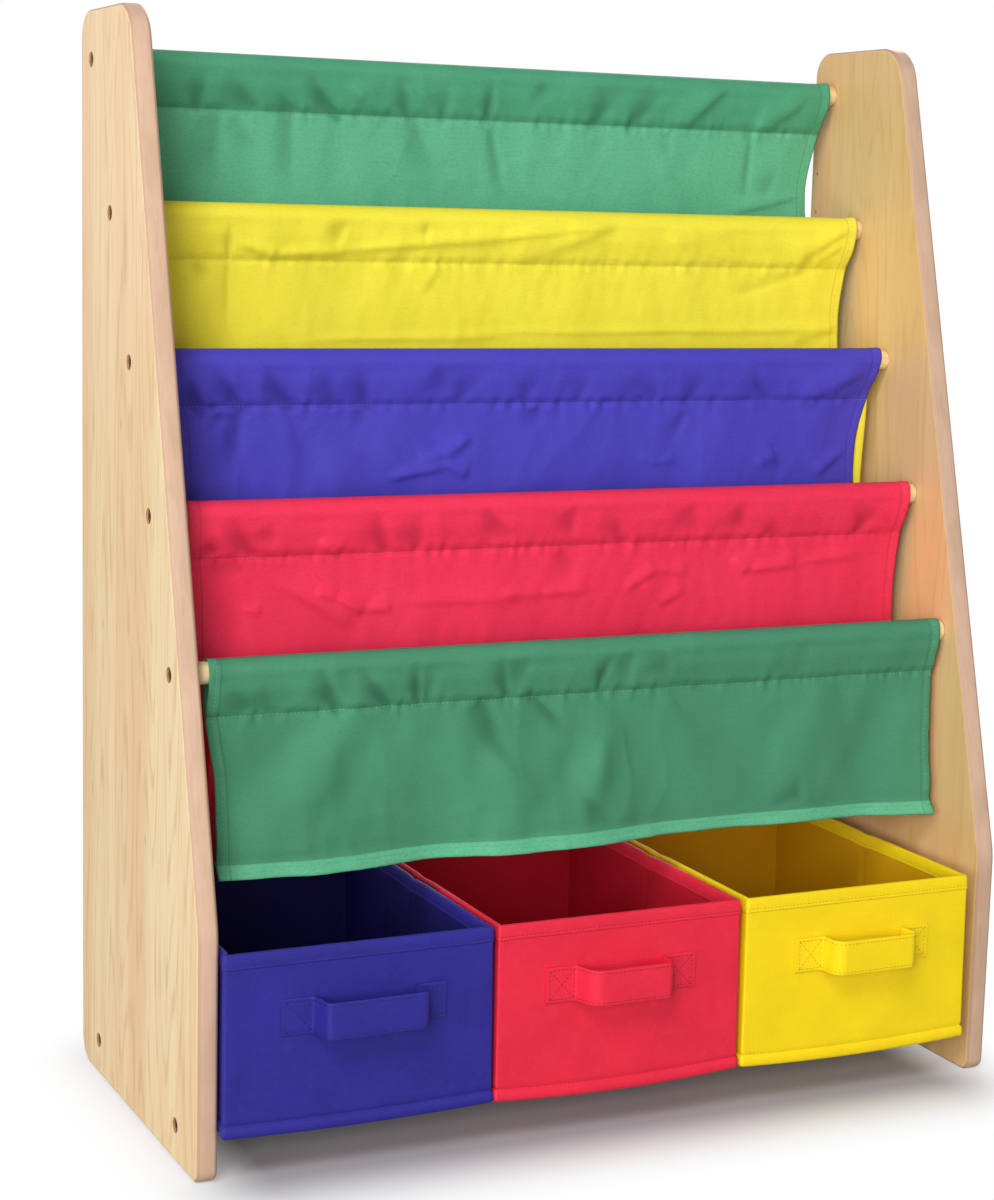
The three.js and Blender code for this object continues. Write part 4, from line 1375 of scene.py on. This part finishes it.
# how far the middle of each front's bottom edge sags, and how far back and up the sag reaches
front_sags = {"blue": 2.0 * mm, "red": 3.6 * mm, "yellow": 2.8 * mm}
sag_reach = 45 * mm
sag_height = 40 * mm
# the walls' unevenness, as the length of its waves and its depth, the room that it has at the bottom
# and more at the top, and where it starts and is whole, from the ends and from the corners
wall_rumple = (120 * mm, 0.7 * mm)
wall_crinkle = (45 * mm, 0.16 * mm)
low_room = 0.2 * mm
high_room = 0.6 * mm
side_strip = 9 * mm
from_ends = (6 * mm, 30 * mm)
from_corners = (3 * mm, 24 * mm)
# how far in, and how far above the bottom, the rolled seam's outline goes, in millimetres, the same
# for the wall's top, below its height, and for the inner floor's corner, above the floor
rolled_seam = [
    (9.0, 0.9), (6.0, 0.5), (3.0, 0.15), (1.0, 0.1), (-0.2, 0.6), (-1.0, 1.6), (-1.4, 3.2),
    (-1.4, 5.2), (-1.1, 7.0), (-0.5, 8.2), (0.35, 8.9), (0.8, 9.5), (0.6, 10.2), (0.15, 11.2),
    (-0.05, 13.0),
]
wall_top = [(0.5, 6.0), (0.9, 2.4), (1.4, 1.6), (1.8, 1.5), (2.2, 1.6), (2.7, 2.4), (3.1, 6.0)]
floor_corner = [(0.0, 2.0), (0.3, 0.8), (1.2, 0.1), (2.6, 0.0)]
# the loops across the floor, as shares of its size, underneath and inside
under_shares = (0.03, 0.3, 0.55, 0.75, 0.88)
inside_shares = (0.88, 0.7, 0.45, 0.2, 0.03)
floor_gap = 0.25 * mm
outer_rows = (16 * mm, 4 * mm)
inner_rows = (10 * mm, 4 * mm)
dimple_gap = 2.9 * mm


def felted(name, colour, deep, light, inner):
    """Spunbonded non-woven cloth, pressed with a close diamond grid of dimples. The inner skin is
    painted a deeper colour, as painted shade inside the bin."""
    material, tree = new_tree(name)
    flat = tree.node("ShaderNodeUVMap", {"uv_map": "cloth"})
    along, up = flat.part(0), flat.part(1)
    turns = 2 * math.pi / dimple_gap
    one_way = ((along + up) * turns).maths("SINE")
    other_way = ((along - up) * turns).maths("SINE")
    dimple = (one_way * other_way).between(0.1, 0.75)
    fibre = flat.noise(900, 4, 0.7)
    cloud = flat.noise(22, 3, 0.55)
    patchy = flat.noise(160, 2, 0.6)
    # painted shade: the marked inner skin takes the deeper inner colour
    inside = tree.node("ShaderNodeAttribute", {"attribute_name": "inside"}, None, 2)
    dye = toned(
        paint(colour),
        (cloud.between(0.35, 0.7), 0.4, deep),
        (patchy.between(0.5, 0.8), 0.22, light),
        (dimple, 0.3, light),
        (inside, 0.8, inner),
        (fibre.between(0.5, 0.8), 0.25, deep),
    )
    height = fibre * 0.7 - dimple
    surface(tree, {
        "Base Color": dye,
        "Roughness": 0.55 + fibre * 0.15 - dimple * 0.15,
        "Normal": height.bump(0.4, 0.00022),
        "Sheen Weight": 0.03,
        "Sheen Roughness": 0.5,
        "Sheen Tint": paint(light),
        "Specular IOR Level": 0.25,
    })
    return material


bin_cloths = {
    # the last colour of each bin is the painted shade of its inner skin
    "blue": felted("blue_felt", "272384", "1f1b70", "3c36a4", "120f4a"),
    "red": felted("red_felt", "e0243f", "c81b35", "f23b54", "ac0f22"),
    "yellow": felted("yellow_felt", "f2d20a", "e4c407", "fae228", "c48a02"),
}


def around(half, depth, radius, count_across, count_back):
    """An even loop of points around a rounded box, with the same count for any size"""
    def on_arc(centre, angle):
        angle = math.radians(angle)
        return (centre[0] + radius * math.cos(angle), centre[1] + radius * math.sin(angle))

    spots = []
    centres = [
        (half - radius, radius), (half - radius, depth - radius),
        (radius - half, depth - radius), (radius - half, radius),
    ]
    counts = (count_back, count_across, count_back, count_across)
    for k, centre in enumerate(centres):
        start = 90 * (k - 1)
        for angle in np.linspace(start, start + 90, corner_steps):
            spots.append(on_arc(centre, angle))
        here = np.array(spots[-1])
        there = np.array(on_arc(centres[(k + 1) % 4], start + 90))
        for share in np.linspace(0, 1, counts[k] + 1)[1:-1]:
            spots.append(tuple(here + (there - here) * share))
    return np.array(spots)


def ring_shell(name, loops, uv, material, caps=True, round_again=False):
    """A mesh through loops of equal count, closed at both ends or joined round to the start"""
    count = len(loops[0])
    points = np.concatenate(loops)
    rows = len(loops)
    faces, face_uv = [], []
    last = rows if round_again else rows - 1
    for r in range(last):
        below, above = r * count, ((r + 1) % rows) * count
        v0, v1 = uv[1][r], uv[1][r + 1]
        for k in range(count):
            n = (k + 1) % count
            u0, u1 = uv[0][k], uv[0][k + 1]
            faces.append((below + k, below + n, above + n, above + k))
            face_uv += [(u0, v0), (u1, v0), (u1, v1), (u0, v1)]
    if caps:
        for loop_start, order in ((0, -1), ((rows - 1) * count, 1)):
            ring = [loop_start + k for k in range(count)][::order]
            faces.append(tuple(ring))
            face_uv += [(points[i][0], points[i][1]) for i in ring]
    mesh = bpy.data.meshes.new(name)
    mesh.from_pydata(points.tolist(), [], faces)
    layer = mesh.uv_layers.new(name="cloth")
    layer.data.foreach_set("uv", np.array(face_uv, np.float32).ravel())
    mesh.shade_smooth()
    mesh.update()
    return new_piece(name, mesh, material)


class Walls:
    """One bin's walls. Heights and places are from the middle of the front's bottom edge."""

    def __init__(self, colour):
        low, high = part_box(f"{colour}_bin_cover")
        self.colour = colour
        self.half = (high.x - low.x) / 2
        self.depth = high.y - low.y
        self.height = high.z - low.z
        self.foot = np.array(((low.x + high.x) / 2, low.y, low.z))

    def dented(self, loop, z, inner):
        """Softness of the wall at a height, as a push inwards"""
        x, y = loop[:, 0], loop[:, 1]
        seed = bin_seeds[self.colour]
        side = np.abs(x) > self.half - side_strip
        run = np.where(side, y, x)
        which = np.sign(x) * side + 2 * (~side) * np.sign(y - self.depth / 2)
        push = np.zeros(len(loop))
        for wall in (-2, -1, 1, 2):
            on = which == wall
            level = np.full(on.sum(), z)
            push[on] = rumpled(run[on], level, seed + wall + 3 * inner, *wall_rumple)
            push[on] += rumpled(run[on], level * 1.5, seed + wall + 9, *wall_crinkle)
        ends = smooth(np.minimum(z, self.height - z), *from_ends)
        corner = np.where(side, np.minimum(y, self.depth - y), self.half - np.abs(x))
        return push * ends * smooth(corner, *from_corners)

    def loop(self, inset, z, soft=False, inner=0):
        """The loop of the cover's wall at a height, set in from the outer skin"""
        half, depth, height = self.half, self.depth, self.height
        radius = max(cover_round - inset, least_round)
        across_count = round(2 * half / around_gap)
        back_count = 2 * round(depth / around_gap / 2)
        loop = around(half - inset, depth - 2 * inset, radius, across_count, back_count)
        loop[:, 1] += inset
        from_middle = loop[:, 1] - depth / 2
        on_side = np.abs(loop[:, 0]) > half - inset - radius * 0.6
        push = self.dented(loop, z, inner) if soft else np.zeros(len(loop))
        room = low_room + high_room * z / height
        push = np.maximum(push, -room) if inner else np.minimum(push, room)
        # the rim's inner side hardly folds, so that the base board can pass it
        fold_share = -1 if inner else 1 if inset < outer_face else rim_crease_share
        fold = swell(from_middle, *side_crease) * on_side * fold_share
        loop[:, 0] -= np.sign(loop[:, 0]) * (on_side * push + fold)
        loop[:, 1] -= np.sign(from_middle) * ~on_side * push

        # the walls lean, and the blue bin's front bulges to the left
        low_share = 1 - min(z / height, 1)
        across_share = (loop[:, 0] / half + 1) / 2
        right_push = (right_lean if inset < outer_face else left_lean) * low_share
        loop[:, 0] += left_lean * low_share * (1 - across_share) + right_push * across_share
        if self.colour == "blue":
            in_front = 1 - smooth(loop[:, 1], *bulge_reach)
            loop[:, 0] -= blue_bulge * in_front * (1 - across_share) ** 2

        # the sides' tops and the front's bottom edge sag in their middles
        sag = swell(loop[:, 1] - depth / 2, *side_sag) * on_side
        rise = z - sag * smooth(z, height * side_sag_start, height)
        droop = np.clip(1 - (loop[:, 0] / half) ** 2, 0, 1) * (1 - smooth(loop[:, 1], 0, sag_reach))
        rise = rise - front_sags[self.colour] * droop * (1 - smooth(z, 0, sag_height))
        return np.column_stack([loop, rise]) + self.foot

    def loops(self, outline, inset=0, z=0, turn=1):
        """Even loops through an outline in millimetres, from an inset and a height"""
        return [self.loop(inset + i * mm, z + turn * rise * mm) for i, rise in outline]

    def closing(self, inset, z, shares):
        """Loops across the floor at a height, drawn in to shares of their size"""
        loop = self.loop(inset, z)
        centre = self.foot + (0, self.depth / 2, z)
        return [centre + (loop - centre) * share for share in shares]


bins = {colour: Walls(colour) for colour in bin_seeds}
for colour, walls in bins.items():
    floor_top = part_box(f"{colour}_bin_base_board")[0].z - walls.foot[2] - floor_gap
    inset, lowest = rolled_seam[0]
    loops = walls.closing(inset * mm, lowest * mm, under_shares)
    loops += walls.loops(rolled_seam)
    for z in np.arange(outer_rows[0], walls.height - outer_rows[1], wall_row_gap):
        loops.append(walls.loop(0, z, True))
    loops += walls.loops(wall_top, 0, walls.height, -1)
    outer_count = len(loops)
    for z in np.arange(walls.height - inner_rows[0], floor_top + inner_rows[1], -2 * wall_row_gap):
        loops.append(walls.loop(wall_thickness, z, True, 1))
    loops += walls.loops(floor_corner, wall_thickness, floor_top)
    inset = wall_thickness + floor_corner[-1][0] * mm
    loops += walls.closing(inset, floor_top, inside_shares)
    along = unrolled(walls.loop(0, walls.height / 2), True)
    up = unrolled([loop[0] for loop in loops])
    cover = ring_shell(f"{colour}_bin_skins", loops, (along, up), bin_cloths[colour])
    # the inner skin's points are marked for the painted shade inside the bin
    inside = cover.data.attributes.new("inside", "FLOAT", "POINT")
    is_inside = np.arange(len(loops)) >= outer_count
    inside.data.foreach_set("value", np.repeat(is_inside.astype(np.float32), len(loops[0])))
    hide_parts(f"{colour}_bin_cover")
    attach(cover, f"{colour}_bin")

# Bin rims
# A strip of the same cloth, folded over the top edges of both skins with its own edges turned under,
# and stitched through.

# how far in from the outer skin, and how far above the rim's top, the strip goes, in millimetres
folded_strip = [
    (-0.45, -11.0), (-0.7, -10.5), (-0.7, -9.4), (-0.4, -8.5), (-0.6, -7.6), (-0.35, -4.5),
    (-0.05, -2.2), (0.3, -0.9), (0.95, -0.15), (1.8, 0.0), (2.65, -0.15), (3.3, -0.9),
    (3.65, -2.2), (3.95, -4.5), (4.2, -7.6), (4.0, -8.5), (4.3, -9.4), (4.3, -10.5),
    (4.05, -11.0), (3.7, -11.0), (3.55, -7.0), (3.2, -3.0), (2.5, -1.2), (1.8, -0.9),
    (1.1, -1.2), (0.4, -3.0), (0.05, -7.0), (-0.1, -11.0),
]

for colour, walls in bins.items():
    rim_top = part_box(f"{colour}_bin_binding")[1].z - walls.foot[2]
    loops = walls.loops(folded_strip, 0, rim_top)
    along = unrolled(loops[0], True)
    up = unrolled([loop[0] for loop in loops], True)
    felt = bin_cloths[colour]
    binding = ring_shell(f"{colour}_bin_rim", loops, (along, up), felt, False, True)
    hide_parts(f"{colour}_bin_binding")
    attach(binding, f"{colour}_bin")

# Bin handles
# A flat strap of the same cloth on each front. It lies on the wall at both ends, where it is sewn
# down, and bows out between them.
strap_thickness = 1.6 * mm
strap_lift = 0.15 * mm
strap_step = 1.5 * mm
# the radii on which the strap leaves its wall and meets it again
leave_round = 2.5 * mm
meet_round = 1.5 * mm
# each strap's corners from its bin's middle, left to right: the left patch's end, where it leaves the
# wall, the bow's two bends, where it meets the wall again, the right patch's end, and the bends' radii
strap_corners = {
    "blue": (-60.5, -36.5, -32.5, 41.5, 39.0, 62.0, 3.0, 2.5),
    "red": (-61.5, -37.0, -31.0, 31.5, 34.0, 60.5, 11.0, 3.0),
    "yellow": (-55.5, -31.5, -30.0, 41.0, 38.0, 62.5, 8.0, 5.0),
}
# shares of the strap's half height: its flat face, its rounded shoulder, and the start and end of the
# groove that the stitches press beside each edge
strap_flat = 0.93
strap_shoulder = 0.985
groove_start = 0.74
groove_end = 0.86
groove_depth = 0.22 * mm
shoulder_share = 0.6
outer_steps = 17
inner_steps = 9
sway_height = 0.15 * mm
sway_turn = 0.11
sway_apart = 2
strap_sharp_turn = math.radians(60)


class Strap:
    """One bin's strap: its middle line along the wall and out from it, and the side it faces"""

    def __init__(self, colour):
        low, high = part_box(f"{colour}_bin_handle")
        foot = bins[colour].foot
        lie = -strap_thickness / 2 - strap_lift
        bow = low.y - foot[1] + strap_thickness / 2
        places = [value * mm for value in strap_corners[colour]]
        left_end, left_leave, left_bend, right_bend, right_leave, right_end, soft, crisp = places
        line = rounded_path([
            (left_end, lie, 0), (left_leave, lie, leave_round), (left_bend, bow, soft),
            (right_bend, bow, crisp), (right_leave, lie, meet_round), (right_end, lie, 0),
        ], False)
        self.patches = (left_leave - left_end, right_end - right_leave)
        self.line = resampled([tuple(p) for p in line], strap_step)
        self.lengths = unrolled(self.line)
        ahead = np.gradient(self.line, axis=0)
        ahead /= np.linalg.norm(ahead, axis=1, keepdims=True)
        self.aside = np.stack([ahead[:, 1], -ahead[:, 0]], 1)
        self.half_height = (high.z - low.z) / 2
        self.middle = np.array((foot[0], foot[1], (high.z + low.z) / 2))

    def section(self):
        """The outline across the strap, as (out, up) from its middle line"""
        thick = strap_thickness / 2
        outline = []
        for share in np.linspace(-strap_flat, strap_flat, outer_steps):
            grooved = groove_start < abs(share) < groove_end
            outline.append((thick - (groove_depth if grooved else 0), share))
        for edge in (1, -1):
            outline.append((edge * thick * shoulder_share, edge * strap_shoulder))
            outline.append((0, edge))
            outline.append((-edge * thick * shoulder_share, edge * strap_shoulder))
            if edge > 0:
                outline += [(-thick, share) for share in np.linspace(strap_flat, -strap_flat, inner_steps)]
        return [(out, share * self.half_height) for out, share in outline]


straps = {colour: Strap(colour) for colour in bins}
for order, (colour, strap) in enumerate(straps.items()):
    section = strap.section()
    loops = []
    for k, (spot, out_way) in enumerate(zip(strap.line, strap.aside)):
        sway = sway_height * math.sin(k * sway_turn + order * sway_apart)
        ring = [(*(spot + out_way * out), up * strap_shoulder + sway) for out, up in section]
        loops.append(strap.middle + ring)
    along = unrolled(loops[0], True)
    handle = ring_shell(f"{colour}_bin_strap", loops, (along, strap.lengths), bin_cloths[colour])
    handle.data.set_sharp_from_angle(angle=strap_sharp_turn)
    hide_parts(f"{colour}_bin_handle")
    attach(handle, f"{colour}_bin")

# Base boards
# Each bin's floor holds a stiff board, 3 mm thick, in a close covering of the same cloth. It lies
# loose, and lifts out.

# the loops across a board's faces, as shares of its size
face_shares = (0.03, 0.3, 0.6, 0.85, 0.96)
# the edge's outline: how far in, in millimetres, and how high, as a share of the thickness
board_edge = [(1.2, 0), (0.5, 0.08), (0.1, 0.3), (0, 0.5), (0.1, 0.7), (0.5, 0.92), (1.2, 1)]
board_round = 3 * mm
board_counts = (30, 44)

face_inset = board_edge[0][0]
board_outline = [(share, face_inset, 0) for share in face_shares]
board_outline += [(1, inset, rise) for inset, rise in board_edge]
board_outline += [(share, face_inset, 1) for share in reversed(face_shares)]
for colour in bins:
    low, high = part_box(f"{colour}_bin_base_board")
    width, depth, thickness = np.subtract(high, low)
    loops = []
    for share, inset, rise in board_outline:
        loop = around(width / 2 - inset * mm, depth - 2 * inset * mm, board_round, *board_counts)
        loop[:, 1] += inset * mm - depth / 2
        lift = np.full(len(loop), (rise - 0.5) * thickness)
        loops.append(np.array((low + high) / 2) + np.column_stack([loop * share, lift]))
    along = unrolled(loops[len(face_shares) + 1], True)
    up = unrolled([loop[0] for loop in loops])
    board = ring_shell(f"{colour}_bin_floor_board", loops, (along, up), bin_cloths[colour])
    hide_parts(f"{colour}_bin_base_board")
    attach(board, f"{colour}_bin_base")

# Wall boards
# Thin grey pulp boards stand between the skins: one in the front, one in the back and two in each
# side, which fold together. They are hidden, and keep their plain shape.
grey_board, tree = new_tree("grey_board")
pulp = object_place(tree).noise(700, 4, 0.7)
surface(tree, {
    "Base Color": pulp.between(0.3, 0.7).choose(paint("9a948b"), paint("807a71")),
    "Roughness": 0.85,
    "Normal": pulp.bump(0.3, 0.0002),
})
for colour in bins:
    for part in ("front", "back", "left_front", "left_back", "right_front", "right_back"):
        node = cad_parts[f"{colour}_bin_{part}_board"]
        for slot in node.material_slots:
            slot.material = grey_board

# Bin stitches
# Each rim is stitched round outside and inside, and each cover round its rolled seam. Each strap has
# a row along both edges, and a box with a cross where it is sewn to the wall.
bin_thread_colours = {"blue": "15124f", "red": "a3162c", "yellow": "dcb80c"}
rim_stitch_drop = 8.4 * mm
rim_stitch_lift = 0.45 * mm
rolled_stitch_place = (0.7 * mm, 9.6 * mm)
strap_stitch_share = 0.8
strap_stitch_start = 2 * mm
box_inset = 3.2 * mm
box_gap = 1.5 * mm


def loop_marks(walls, inset, z, facing):
    """Stitches round the walls at a height, on the outside or the inside"""
    loop = walls.loop(inset, z)
    out = np.cross(np.roll(loop, -1, axis=0) - np.roll(loop, 1, axis=0), (0, 0, 1.0))
    out *= facing / np.linalg.norm(out, axis=1, keepdims=True)
    lengths = unrolled(loop, True)
    at = stitch_lengths(lengths)
    loop = np.concatenate([loop, loop[:1]])
    out = np.concatenate([out, out[:1]])
    spots = read_at(at, lengths, loop)
    return spots, read_at(at + mm, lengths, loop) - spots, read_at(at, lengths, out)


def strap_marks(strap, *corners):
    """Stitches on the strap's outer face, from (length along, height) points"""
    corners = np.array(corners)
    lengths = unrolled(corners)
    at = stitch_lengths(lengths)

    def lay(flat):
        face = strap.line + strap.aside * (strap_thickness / 2)
        spot = read_at(flat[:, 0], strap.lengths, face)
        return strap.middle + np.column_stack([spot, flat[:, 1]])

    flat = read_at(at, lengths, corners)
    spots = lay(flat)
    out = np.pad(read_at(flat[:, 0], strap.lengths, strap.aside), ((0, 0), (0, 1)))
    return spots, lay(read_at(at + mm, lengths, corners)) - spots, out


for colour, walls in bins.items():
    strap = straps[colour]
    rim_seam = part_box(f"{colour}_bin_binding")[1].z - walls.foot[2] - rim_stitch_drop
    end = strap.lengths[-1]
    top = strap.half_height * strap_stitch_share
    marks = [
        loop_marks(walls, -rim_stitch_lift, rim_seam, 1),
        loop_marks(walls, wall_thickness + rim_stitch_lift, rim_seam, -1),
        loop_marks(walls, *rolled_stitch_place, 1),
    ]
    for edge in (top, -top):
        marks.append(strap_marks(strap, (strap_stitch_start, edge), (end - strap_stitch_start, edge)))
    boxes = (
        (box_inset, strap.patches[0] - box_gap),
        (end - strap.patches[1] + box_gap, end - box_inset),
    )
    for left, right in boxes:
        marks.append(strap_marks(strap, (left, -top), (left, top)))
        marks.append(strap_marks(strap, (right, -top), (right, top)))
        marks.append(strap_marks(strap, (left, -top), (right, top)))
        marks.append(strap_marks(strap, (left, top), (right, -top)))
    thread = thread_of(f"{colour}_bin_thread", bin_thread_colours[colour])
    sew(f"{colour}_bin_stitches", marks, thread, f"{colour}_bin")
